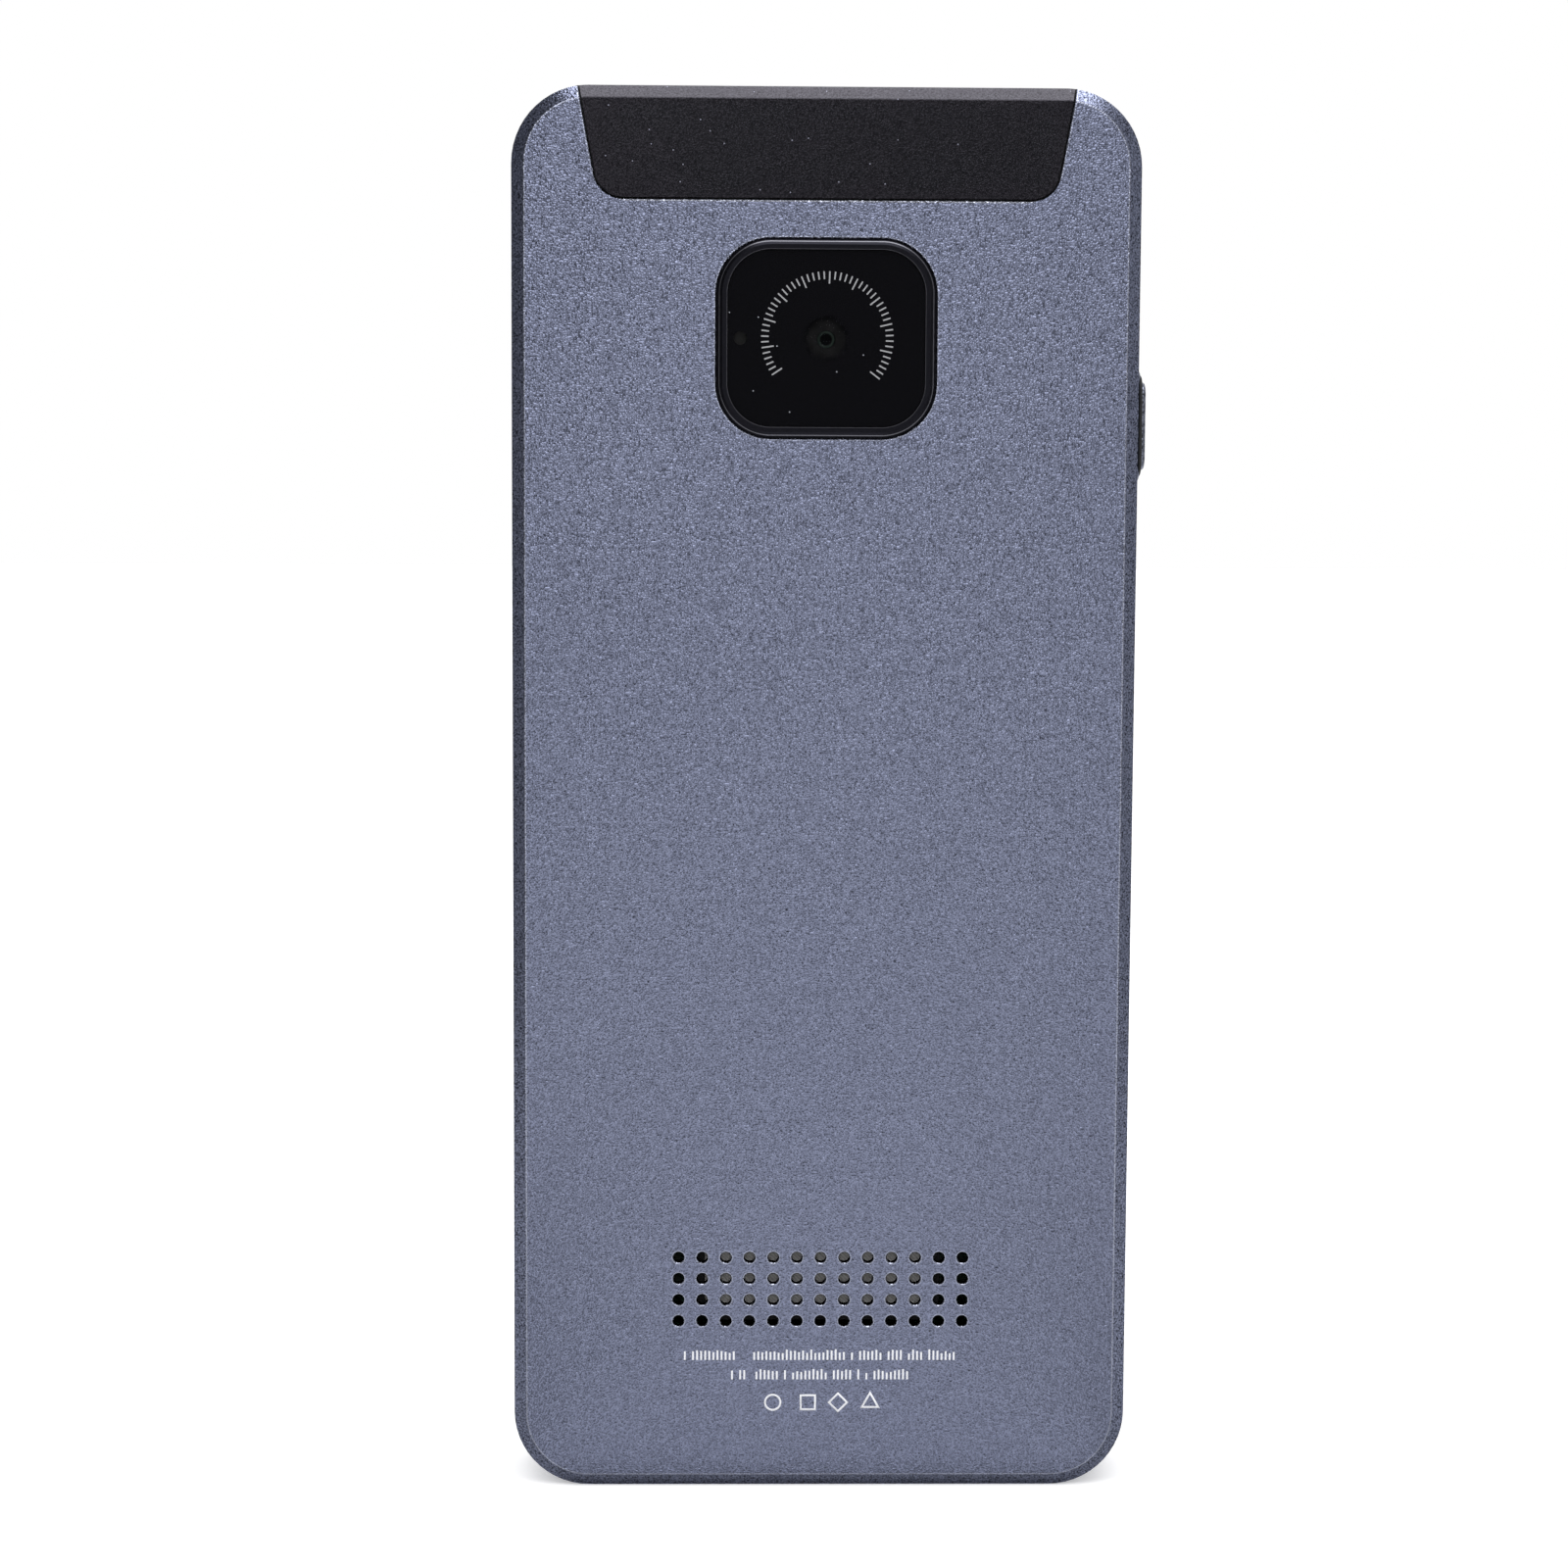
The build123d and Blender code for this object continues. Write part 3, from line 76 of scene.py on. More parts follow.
# %% Camera
camera_place = Vector((-8.643, -276.468, 89.678)) * MM
camera_yaw = math.radians(-1.061)
camera_pitch = math.radians(-4.999)
camera_roll = math.radians(0.292)

camera_data = bpy.data.cameras.new("camera")
camera_data.sensor_width = 36.0
camera_data.lens = 68.09
camera_data.clip_start = 10 * MM
camera = bpy.data.objects.new("camera", camera_data)
scene.collection.objects.link(camera)
camera.matrix_world = (
    Matrix.Translation(camera_place)
    @ Matrix.Rotation(camera_yaw, 4, "Z")
    @ Matrix.Rotation(math.pi / 2 + camera_pitch, 4, "X")
    @ Matrix.Rotation(camera_roll, 4, "Z")
)
scene.camera = camera
scene.view_settings.view_transform = "Standard"
print("camera", round((camera_place - Vector((0, 0, cad_box[1][2] / 2))).length / MM), "mm away")

# %% [markdown]
# Shaders and the world are node trees. Two small helpers keep their cells short: one turns a
# hex colour, as a designer writes it, into the linear values that shaders take, and the other
# adds a node, sets its options and fills its inputs, either with a value or with a link. Its
# inputs are named, or are given in their order where a node only does sums.

# %% Helpers for colours and nodes
def linear(hex_colour):
    """An sRGB hex colour such as #70758A as linear red, green, blue and alpha."""
    channels = [int(hex_colour[start : start + 2], 16) / 255 for start in (1, 3, 5)]
    return [c / 12.92 if c <= 0.04045 else ((c + 0.055) / 1.055) ** 2.4 for c in channels] + [1.0]


def add(tree, kind, inputs=(), **settings):
    """Add a node. Inputs go by identifier, or in order; a node or socket given there is linked."""
    node = tree.nodes.new(kind)
    for name, value in settings.items():
        setattr(node, name, value)
    sockets = {socket.identifier: socket for socket in node.inputs}
    named = inputs if isinstance(inputs, dict) else dict(zip(sockets, inputs))
    for name, value in named.items():
        socket = sockets[name]
        if isinstance(value, bpy.types.Node):
            value = next(s for s in value.outputs if s.enabled)
        if isinstance(value, bpy.types.NodeSocket):
            tree.links.new(value, socket)
        else:
            socket.default_value = value
    return node


print("a mid grey is", [round(c, 3) for c in linear("#808080")[:3]])

# %% [markdown]
# The studio is a white room. Every camera ray meets plain white, so that the object stands
# out cleanly from any side. Reflections need more: a metal or a glass shows whatever stands
# around it. So the room is built from soft round patches of light, each with its direction,
# its size and its brightness, laid over an even wall. A bright window above the camera makes
# the grain of the metal sparkle. The small dark patch below it is where the photographer
# stands, which is what keeps polished black glass black. The wall behind the object is the
# white backdrop, and a mirror that faces it shows it white too. A picture of a real studio
# could serve as well, but these patches can be moved and dimmed one by one.

# %% World
def looks_straight(tree, rays):
    """1 for the rays that the camera sends, also through glass, else 0."""
    through_glass = rays.outputs["Is Transmission Ray"]
    return add(tree, "ShaderNodeMath", (rays.outputs["Is Camera Ray"], through_glass), operation="MAXIMUM")


world = bpy.data.worlds.new("white_studio")
world.use_nodes = True
scene.world = world
tree = world.node_tree
tree.nodes.clear()

wall_light, backdrop_turn = 0.72, 0.3
patches = {  # degrees to the right, degrees up, reach of the core and of the soft edge, brightness
    "ceiling": (0, 90, 30, 75, 1.05),
    "front_wall": (0, 0, 25, 55, 0.68),
    "window": (0, 28, 10, 20, 2.9),
    "photographer": (3, 5, 7, 15, 0.04),
}
direction = add(tree, "ShaderNodeTexCoord").outputs["Generated"]
room = wall_light
for right, up, core, edge, brightness in patches.values():
    flat = Vector((math.sin(math.radians(right)), -math.cos(math.radians(right)), 0))
    towards = flat * math.cos(math.radians(up)) + Vector((0, 0, math.sin(math.radians(up))))
    nearness = add(tree, "ShaderNodeVectorMath", (direction, towards), operation="DOT_PRODUCT")
    inside = add(
        tree, "ShaderNodeMapRange",
        {
            "Value": nearness.outputs["Value"],
            "From Min": math.cos(math.radians(edge)),
            "From Max": math.cos(math.radians(core)),
        },
        interpolation_type="SMOOTHSTEP",
    )
    room = add(
        tree, "ShaderNodeMix",
        {"Factor_Float": inside, "A_Float": room, "B_Float": brightness},
        data_type="FLOAT",
    )
rays = add(tree, "ShaderNodeLightPath")
axes = add(tree, "ShaderNodeSeparateXYZ", {"Vector": direction})
behind = add(tree, "ShaderNodeMapRange", {"Value": axes.outputs["Y"], "From Max": backdrop_turn})
mirrored_backdrop = add(
    tree, "ShaderNodeMath", (rays.outputs["Is Glossy Ray"], behind), operation="MULTIPLY"
)
straight = looks_straight(tree, rays)
backdrop = add(tree, "ShaderNodeMath", (straight, mirrored_backdrop), operation="MAXIMUM")
strength = add(
    tree, "ShaderNodeMix", {"Factor_Float": backdrop, "A_Float": room, "B_Float": 1.0}, data_type="FLOAT"
)
light = add(tree, "ShaderNodeBackground", {"Color": linear("#FFFFFF"), "Strength": strength})
add(tree, "ShaderNodeOutputWorld", {"Surface": light})
print("world has", len(patches), "patches and", len(tree.nodes), "nodes")

# %% [markdown]
# One large softbox hangs above and in front. It puts the bright line on the upper bevel and
# brings out the grain of the blasted metal near the top end, and it gives the floor a soft
# shadow. A lamp does this better than one more patch on the wall, because it hangs near and
# lights the top end more than the foot. The brightness of an area lamp is its power divided
# by its area and by pi, so the power is worked out from the brightness that is wanted.

# %% Softbox
def softbox(name, place, target, width, height, brightness):
    """A rectangular lamp at place that faces target; brightness 1 looks as bright as white paper."""
    lamp = bpy.data.lights.new(name, "AREA")
    lamp.shape = "RECTANGLE"
    lamp.size, lamp.size_y = width, height
    lamp.energy = brightness * math.pi * width * height
    box = bpy.data.objects.new(name, lamp)
    scene.collection.objects.link(box)
    facing = (Vector(target) - Vector(place)).to_track_quat("-Z", "Y")
    box.matrix_world = Matrix.Translation(place) @ facing.to_matrix().to_4x4()
    return box


overhead = softbox(
    "overhead_softbox",
    place=(0.0, -0.35, 0.95), target=(0.0, 0.0, 0.1),
    width=0.9, height=0.5, brightness=3.4,
)
print("softbox power", round(overhead.data.energy, 2), "W")

# %% [markdown]
# The floor is a large pale sheet under the bottom end. A plain white surface would render
# slightly grey beside a pure white background, so it adds a little light of its own for the
# rays that look straight at it or meet it in a mirror. Shadows still fall on it, because most
# of its brightness is ordinary reflected light. The paper is faintly uneven over a third of a
# metre. A noise node wants that size as a number of features to the metre, which one small
# helper works out here and for every finish that follows.

# %% Floor
def per(size_mm):
    """The scale of a noise pattern whose features are about size_mm across."""
    return 1 / (size_mm * MM)


def new_material(name):
    """An empty node material, with its tree and the Object coordinates for its patterns."""
    material = bpy.data.materials.new(name)
    material.use_nodes = True
    material.node_tree.nodes.clear()
    coordinates = add(material.node_tree, "ShaderNodeTexCoord").outputs["Object"]
    return material, material.node_tree, coordinates


def floor_paper():
    """Matt studio paper: a faint unevenness, and enough of its own light to meet the background."""
    material, tree, coordinates = new_material("matt_studio_paper")
    unevenness = add(
        tree, "ShaderNodeTexNoise", {"Vector": coordinates, "Scale": per(1000 / 3), "Detail": 2.0}
    )
    colour = add(
        tree, "ShaderNodeMix",
        {"Factor_Float": unevenness, "A_Color": linear("#E4E4E5"), "B_Color": linear("#E9E9E9")},
        data_type="RGBA",
    )
    paper = add(tree, "ShaderNodeBsdfDiffuse", {"Color": colour.outputs["Result"]})
    rays = add(tree, "ShaderNodeLightPath")
    straight = looks_straight(tree, rays)
    seen_light, mirrored_light = 0.35, 0.1
    mirrored = add(
        tree, "ShaderNodeMath", (rays.outputs["Is Glossy Ray"], mirrored_light), operation="MULTIPLY"
    )
    own_strength = add(tree, "ShaderNodeMath", (straight, seen_light, mirrored), operation="MULTIPLY_ADD")
    own_light = add(tree, "ShaderNodeEmission", {"Strength": own_strength})
    both = add(tree, "ShaderNodeAddShader", {"Shader": paper, "Shader_001": own_light})
    add(tree, "ShaderNodeOutputMaterial", {"Surface": both})
    return material


def sheet_of(name, corners, material):
    """A flat four-cornered stage piece, such as a floor or a card."""
    mesh = bpy.data.meshes.new(name)
    mesh.from_pydata(corners, [], [(0, 1, 2, 3)])
    mesh.materials.append(material)
    sheet = bpy.data.objects.new(name, mesh)
    scene.collection.objects.link(sheet)
    return sheet


floor_reach = 6.0
floor_corners = [(x * floor_reach, y * floor_reach, 0.0) for x, y in ((-1, -1), (1, -1), (1, 1), (-1, 1))]
sheet_of("floor", floor_corners, floor_paper())
print("floor is", 2 * floor_reach, "m wide")

# %% [markdown]
# Metal looks like metal when its edges turn dark. A photographer stands a card on each side
# of the object, just outside the picture, and the sloping bevels mirror it. The left card is
# the taller and the darker one, and is painted darker still towards its top, so the left bevel
# deepens on its way up, while the right bevel stays paler. A mat lies at the foot of each card
# and a narrow one along the foot of the object's back, for the lowest part of the bevels.
# Cards and mats are seen by mirror rays only: they throw no shadow and hide nothing.

# %% Cards round the object
card_distance, card_width, fade_height = 0.18, 0.26, 0.15
mat_near, mat_far, mat_front, mat_lift = 0.03, 0.2, -0.08, 0.05 * MM
foot_mat_half, foot_mat_depth, foot_shade = 45 * MM, 4.0 * MM, "#B0B0B0"


def studio_card(name, corners, low_shade, high_shade):
    """A matt card that only mirrors see: low_shade at the floor, high_shade from fade_height up."""
    material, tree, coordinates = new_material(name + "_paint")
    height = add(tree, "ShaderNodeSeparateXYZ", {"Vector": coordinates}).outputs["Z"]
    fade = add(tree, "ShaderNodeMapRange", {"Value": height, "From Max": fade_height})
    shade = add(
        tree, "ShaderNodeMix",
        {"Factor_Float": fade, "A_Color": linear(low_shade), "B_Color": linear(high_shade)},
        data_type="RGBA",
    )
    mottle = add(tree, "ShaderNodeTexNoise", {"Vector": coordinates, "Scale": per(125)})
    coat = add(tree, "ShaderNodeMapRange", {"Value": mottle, "To Min": 0.9, "To Max": 1.1})
    colour = add(
        tree, "ShaderNodeVectorMath", {"Vector": shade.outputs["Result"], "Scale": coat}, operation="SCALE"
    )
    paint = add(tree, "ShaderNodeBsdfDiffuse", {"Color": colour.outputs["Vector"]})
    add(tree, "ShaderNodeOutputMaterial", {"Surface": paint})
    card = sheet_of(name, corners, material)
    card.visible_camera = card.visible_diffuse = card.visible_transmission = card.visible_shadow = False


def on_floor(left, right, front, back):
    """The corners of a mat that lies just above the floor."""
    return [(x, y, mat_lift) for x, y in ((left, back), (left, front), (right, front), (right, back))]


cards = {  # degrees to the right, height, shade at the floor, shade at the top, shade of the mat
    "left": (-66, 0.55, "#AEAEAE", "#7C7C7C", "#B8B8B8"),
    "right": (66, 0.3, "#BEBEBE", "#C2C2C2", "#C0C0C0"),
}
for name, (angle, height, low_shade, high_shade, mat_shade) in cards.items():
    outwards = Vector((math.sin(math.radians(angle)), -math.cos(math.radians(angle)), 0))
    foot, top = outwards * card_distance, Vector((0, 0, height))
    along = outwards.cross((0, 0, card_width / 2))
    corners = [foot - along, foot + along, foot + along + top, foot - along + top]
    studio_card(name + "_card", corners, low_shade, high_shade)
    mat = on_floor(mat_near * outwards.x, mat_far * outwards.x, mat_front, 0.0)
    studio_card(name + "_mat", mat, mat_shade, mat_shade)
foot_back = cad_box[0].y + 1.0 * MM
foot_mat = on_floor(-foot_mat_half, foot_mat_half, foot_back - foot_mat_depth, foot_back)
studio_card("foot_mat", foot_mat, foot_shade, foot_shade)
print(len(cards), "cards stand", card_distance, "m away, each with a mat at its foot")

# %% [markdown]
# Thin lines of painted highlight run where a sharp edge of the case would catch the light:
# round the back, round the openings for the camera and the antenna window, and on the
# countersink of every hole in the loudspeaker grille. These lines are one or two tenths of a
# millimetre wide, so they aren't modelled but painted in the colour. For each of them the
# nodes work out how far a point lies from the edge, as seen along Y, and pick a narrow range
# of that distance. A rounded rectangle needs the two distances from its sides, and so does the
# window's opening, whose sides lean a little. The window's painted highlight is brightest at
# its foot.

# %% Distances from the edges
glass_low, glass_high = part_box("camera_glass")
camera_middle = (glass_low + glass_high) / 2
cut_half, cut_corner = Vector((10.0, 0.0, 9.0)) * MM, 5.0 * MM  # the opening for the camera
case_middle = (cad_box[0] + cad_box[1]) / 2
case_middle.x = 0.0
case_half, case_corner = Vector((28.5 * MM, 0.0, case_middle.z)), 7.0 * MM
top_half, low_half, window_foot = 22.5 * MM, 20.65 * MM, 118.85 * MM  # the opening for the window
window_corner = 2.7 * MM
lean = math.atan2(top_half - low_half, cad_box[1].z - window_foot)
grille_middle = Vector((0.0, 0.0, 18.8 * MM))
hole_pitch = Vector((2.2, 1.0, 2.0)) * MM  # the pitch along Y isn't used
hole_radius, columns, rows = 0.5 * MM, 13, 4
# each painted highlight line: its distance from the edge, or from a hole's middle, its width and its share
outline_line = (-1.2 * MM, 0.12 * MM, 0.4)
camera_line = (0.08 * MM, 0.18 * MM, 0.3)
rim_line = (hole_radius + 0.075 * MM, 0.13 * MM, 0.38)
window_line_place, window_line_width = 0.09 * MM, 0.2 * MM
window_foot_share, window_side_share, share_height = 0.9, 0.3, 3.0 * MM


def rounded(tree, across, along, corner):
    """The distance outside a rounded corner, from the distances beyond its two sides."""
    moved = [add(tree, "ShaderNodeMath", (side, corner), operation="ADD") for side in (across, along)]
    both = add(tree, "ShaderNodeCombineXYZ", {"X": moved[0], "Y": moved[1]})
    positive = add(tree, "ShaderNodeVectorMath", {"Vector": both}, operation="MAXIMUM")
    reach = add(tree, "ShaderNodeVectorMath", {"Vector": positive}, operation="LENGTH")
    larger = add(tree, "ShaderNodeMath", moved, operation="MAXIMUM")
    within = add(tree, "ShaderNodeMath", (larger, 0.0), operation="MINIMUM")
    total = add(tree, "ShaderNodeMath", (reach.outputs["Value"], within), operation="ADD")
    return add(tree, "ShaderNodeMath", (total, corner), operation="SUBTRACT")


def outside_rectangle(tree, coordinates, middle, half, corner):
    """How far a point lies outside a rounded rectangle, seen along Y; negative inside it."""
    offset = add(tree, "ShaderNodeVectorMath", (coordinates, middle), operation="SUBTRACT")
    size = add(tree, "ShaderNodeVectorMath", {"Vector": offset}, operation="ABSOLUTE")
    beyond = add(tree, "ShaderNodeVectorMath", (size, half), operation="SUBTRACT")
    axes = add(tree, "ShaderNodeSeparateXYZ", {"Vector": beyond})
    return rounded(tree, axes.outputs["X"], axes.outputs["Z"], corner)


def outside_window(tree, coordinates):
    """How far a point lies outside the opening for the antenna window, seen along Y."""
    size = add(tree, "ShaderNodeVectorMath", {"Vector": coordinates}, operation="ABSOLUTE")
    foot = Vector((low_half, 0.0, window_foot))
    offset = add(tree, "ShaderNodeVectorMath", (size, foot), operation="SUBTRACT")
    sideways = Vector((math.cos(lean), 0.0, -math.sin(lean)))
    across = add(tree, "ShaderNodeVectorMath", (offset, sideways), operation="DOT_PRODUCT")
    below = add(tree, "ShaderNodeVectorMath", (offset, (0, 0, -1)), operation="DOT_PRODUCT")
    return rounded(tree, across.outputs["Value"], below.outputs["Value"], window_corner)


def from_hole(tree, coordinates):
    """The distance from the middle of the nearest hole of the grille, seen along Y."""
    first = grille_middle - Vector((0, 0, hole_pitch.z / 2))
    offset = add(tree, "ShaderNodeVectorMath", (coordinates, first), operation="SUBTRACT")
    wrapped = add(tree, "ShaderNodeVectorMath", (offset, hole_pitch / 2, hole_pitch / -2), operation="WRAP")
    flat = add(tree, "ShaderNodeVectorMath", (wrapped, (1.0, 0.0, 1.0)), operation="MULTIPLY")
    return add(tree, "ShaderNodeVectorMath", {"Vector": flat}, operation="LENGTH").outputs["Value"]


def line_at(tree, distance, place, width, share):
    """share on a line of this width that runs where distance equals place, else 0."""
    on_line = add(tree, "ShaderNodeMath", (distance, place, width / 2), operation="COMPARE")
    return add(tree, "ShaderNodeMath", (on_line, share), operation="MULTIPLY")


def only_in_grille(tree, coordinates, mask):
    """mask within the field of the grille's holes, else 0."""
    field_half = Vector((columns * hole_pitch.x / 2, 0.0, rows * hole_pitch.z / 2))
    outside = outside_rectangle(tree, coordinates, grille_middle, field_half, 0.0)
    inside = add(tree, "ShaderNodeMath", (outside, 0.0), operation="LESS_THAN")
    return add(tree, "ShaderNodeMath", (mask, inside), operation="MULTIPLY")


def in_a_hole(tree, coordinates):
    """1 on the walls of the grille's holes, else 0."""
    wall_reach = hole_radius + 0.01 * MM
    middle_distance = from_hole(tree, coordinates)
    wall = add(tree, "ShaderNodeMath", (middle_distance, wall_reach), operation="LESS_THAN")
    return only_in_grille(tree, coordinates, wall)


def edge_highlights(tree, coordinates):
    """How much painted highlight each point of the case gets: 0 off the lines, up to 1 on a line."""
    beyond_case = outside_rectangle(tree, coordinates, case_middle, case_half, case_corner)
    beyond_camera = outside_rectangle(tree, coordinates, camera_middle, cut_half, cut_corner)
    rims = line_at(tree, from_hole(tree, coordinates), *rim_line)
    axes = add(tree, "ShaderNodeSeparateXYZ", {"Vector": coordinates})
    share = add(
        tree, "ShaderNodeMapRange",
        {
            "Value": axes.outputs["Z"],
            "From Min": window_foot,
            "From Max": window_foot + share_height,
            "To Min": window_foot_share,
            "To Max": window_side_share,
        },
    )
    beyond_window = outside_window(tree, coordinates)
    beside_window = line_at(tree, beyond_window, window_line_place, window_line_width, share)
    window_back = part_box("antenna_window")[1].y
    at_window = add(tree, "ShaderNodeMath", (axes.outputs["Y"], window_back), operation="LESS_THAN")
    lines = [
        line_at(tree, beyond_case, *outline_line),
        line_at(tree, beyond_camera, *camera_line),
        add(tree, "ShaderNodeMath", (beside_window, at_window), operation="MULTIPLY"),
        only_in_grille(tree, coordinates, rims),
    ]
    brightest = lines[0]
    for line in lines[1:]:
        brightest = add(tree, "ShaderNodeMath", (brightest, line), operation="MAXIMUM")
    return brightest


print("the window's sides lean", round(math.degrees(lean), 1), "degrees")

# %% [markdown]
# The case is blasted and then anodised aluminium. Blasting with fine grit leaves a mat of
# small dents, which catch the light as pale and dark flecks, and the dye of the anodising
# gives the blue-grey. So the finish is a satin metal. Real dents are finer than a picture can
# show, so they are drawn coarser, about 0.15 mm across. One noise pattern of that size drives
# the bump, the roughness and a part of the colour; that part of the colour is the metal's
# grain and painted sparkle, which the dents would give by catching the light. A much larger
# pattern makes the dye drift slowly from place to place. The bevel was milled: its dents are
# shallower, and its flecks are stronger in colour, so more of its sparkle is painted. Hardly
# any light comes back out of the grille's narrow holes, so on their walls the same material
# is painted a dull black, as painted shade.

# %% Anodised aluminium
dent_mm, dent_depth = 0.15, 0.06 * MM
bevel_width, flat_contrast, bevel_contrast = 1.15 * MM, 1.3, 3.0


def blasted_anodised_aluminium():
    """Satin metal: blue-grey flecks of grain and painted sparkle, painted highlight lines, painted shade in
    the holes.
    """
    material, tree, coordinates = new_material("blasted_anodised_aluminium")
    blasting = add(tree, "ShaderNodeTexNoise", {"Vector": coordinates, "Scale": per(dent_mm), "Detail": 0.0})
    drift = add(tree, "ShaderNodeTexNoise", {"Vector": coordinates, "Scale": per(30.0), "Detail": 1.0})
    dye = add(
        tree, "ShaderNodeMix",
        {"Factor_Float": drift, "A_Color": linear("#70758A"), "B_Color": linear("#74798E")},
        data_type="RGBA",
    )
    beyond_case = outside_rectangle(tree, coordinates, case_middle, case_half, case_corner)
    on_bevel = add(tree, "ShaderNodeMath", (beyond_case, -bevel_width), operation="GREATER_THAN")
    contrast = add(
        tree, "ShaderNodeMapRange", {"Value": on_bevel, "To Min": flat_contrast, "To Max": bevel_contrast}
    )
    # the flecks are the metal's grain and painted sparkle, painted stronger on the bevel
    departure = add(tree, "ShaderNodeMath", (blasting, 0.5), operation="SUBTRACT")
    flecks = add(tree, "ShaderNodeMath", (departure, contrast, 1.0), operation="MULTIPLY_ADD")
    colour = add(
        tree, "ShaderNodeVectorMath",
        {"Vector": dye.outputs["Result"], "Scale": flecks},
        operation="SCALE",
    )
    # painted highlight lines along the edges, laid on in a pale metal colour
    lines = edge_highlights(tree, coordinates)
    edged = add(
        tree, "ShaderNodeMix",
        {"Factor_Float": lines, "A_Color": colour.outputs["Vector"], "B_Color": linear("#C3C7D6")},
        data_type="RGBA",
    )
    # painted shade: the walls of the grille's holes are painted near black, and are not metal there
    on_wall = in_a_hole(tree, coordinates)
    with_painted_hole_shade = add(
        tree, "ShaderNodeMix",
        {"Factor_Float": on_wall, "A_Color": edged.outputs["Result"], "B_Color": linear("#040405")},
        data_type="RGBA",
    )
    metallic = add(tree, "ShaderNodeMath", (1.0, on_wall), operation="SUBTRACT")
    satin = add(
        tree, "ShaderNodeMapRange",
        {"Value": blasting, "From Min": 0.3, "From Max": 0.7, "To Min": 0.15, "To Max": 0.21},
    )
    roughness = add(tree, "ShaderNodeMath", (satin, on_wall), operation="MAXIMUM")
    # the bump is weaker on the milled bevel and under the painted highlight lines
    milled = add(tree, "ShaderNodeMath", (on_bevel, lines), operation="MAXIMUM")
    uncut = add(tree, "ShaderNodeMapRange", {"Value": milled, "To Min": 1.0, "To Max": 0.4})
    dents = add(tree, "ShaderNodeBump", {"Height": blasting, "Strength": uncut, "Distance": dent_depth})
    shader = add(
        tree, "ShaderNodeBsdfPrincipled",
        {
            "Base Color": with_painted_hole_shade.outputs["Result"],
            "Metallic": metallic,
            "Roughness": roughness,
            "Specular IOR Level": metallic,
            "Normal": dents,
        },
    )
    add(tree, "ShaderNodeOutputMaterial", {"Surface": shader})
    return material


finishes = {"cover_aluminium": blasted_anodised_aluminium()}
print("there are", round(per(dent_mm)), "dents on each metre")

# %% [markdown]
# The antenna window is moulded in black polycarbonate, because radio waves don't pass metal.
# Its mould was spark-eroded to a fine satin texture. From the front it is nearly black, and
# its bevel catches the overhead light in a fine-grained sheen. The texture drives the gloss,
# the sheen and the relief, and is drawn 0.13 mm coarse, so that it shows. Here and there a
# facet of it would face a lamp and glint, so a few pin-point specks of painted highlight are
# strewn over the plastic. They sit in Voronoi cells laid flat over the back, of which only a
# small share holds one.

# %% Antenna window plastic
# specks: real dust on the camera glass, and painted glints on the window plastic
def dust_and_glint_specks(tree, coordinates, spacing_mm, share, size_mm):
    """1 on small round specks that lie without order, one in every 1 / share cells."""
    axes = add(tree, "ShaderNodeSeparateXYZ", {"Vector": coordinates})
    flat = add(tree, "ShaderNodeCombineXYZ", {"X": axes.outputs["X"], "Y": axes.outputs["Z"]})
    patchwork = add(
        tree, "ShaderNodeTexVoronoi", {"Vector": flat, "Scale": per(spacing_mm)}, voronoi_dimensions="2D"
    )
    chosen = add(tree, "ShaderNodeTexWhiteNoise", {"Vector": patchwork.outputs["Position"]})
    rare = add(tree, "ShaderNodeMath", (chosen.outputs["Value"], 1 - share), operation="GREATER_THAN")
    reach = size_mm / 2 / spacing_mm
    near = add(tree, "ShaderNodeMath", (patchwork.outputs["Distance"], reach), operation="LESS_THAN")
    return add(tree, "ShaderNodeMath", (rare, near), operation="MULTIPLY")


texture_mm, texture_depth = 0.13, 0.013 * MM


def spark_textured_polycarbonate():
    """Black moulded plastic: a satin sheen, a very fine texture and rare painted pin-point glints."""
    material, tree, coordinates = new_material("spark_textured_black_polycarbonate")
    texture = add(
        tree, "ShaderNodeTexNoise",
        {"Vector": coordinates, "Scale": per(texture_mm), "Detail": 2.0, "Roughness": 0.6},
    )
    # painted glints: pale specks in the colour, where a facet would glint at a lamp
    glint = dust_and_glint_specks(tree, coordinates, spacing_mm=0.9, share=0.04, size_mm=0.1)
    resin = add(
        tree, "ShaderNodeMix",
        {"Factor_Float": texture, "A_Color": linear("#070609"), "B_Color": linear("#100F13")},
        data_type="RGBA",
    )
    colour = add(
        tree, "ShaderNodeMix",
        {"Factor_Float": glint, "A_Color": resin.outputs["Result"], "B_Color": linear("#8E90A0")},
        data_type="RGBA",
    )
    spread = {"Value": texture, "From Min": 0.36, "From Max": 0.64}  # where most of the noise lies
    roughness = add(tree, "ShaderNodeMapRange", {**spread, "To Min": 0.14, "To Max": 0.25})
    sheen = add(tree, "ShaderNodeMapRange", {**spread, "To Min": 0.28, "To Max": 0.72})
    relief = add(tree, "ShaderNodeBump", {"Height": texture, "Strength": 1.0, "Distance": texture_depth})
    shader = add(
        tree, "ShaderNodeBsdfPrincipled",
        {
            "Base Color": colour.outputs["Result"],
            "Roughness": roughness,
            "Specular IOR Level": sheen,
            "Specular Tint": linear("#F2EEFF"),
            "Normal": relief,
        },
    )
    add(tree, "ShaderNodeOutputMaterial", {"Surface": shader})
    return material


finishes["window_plastic"] = spark_textured_polycarbonate()

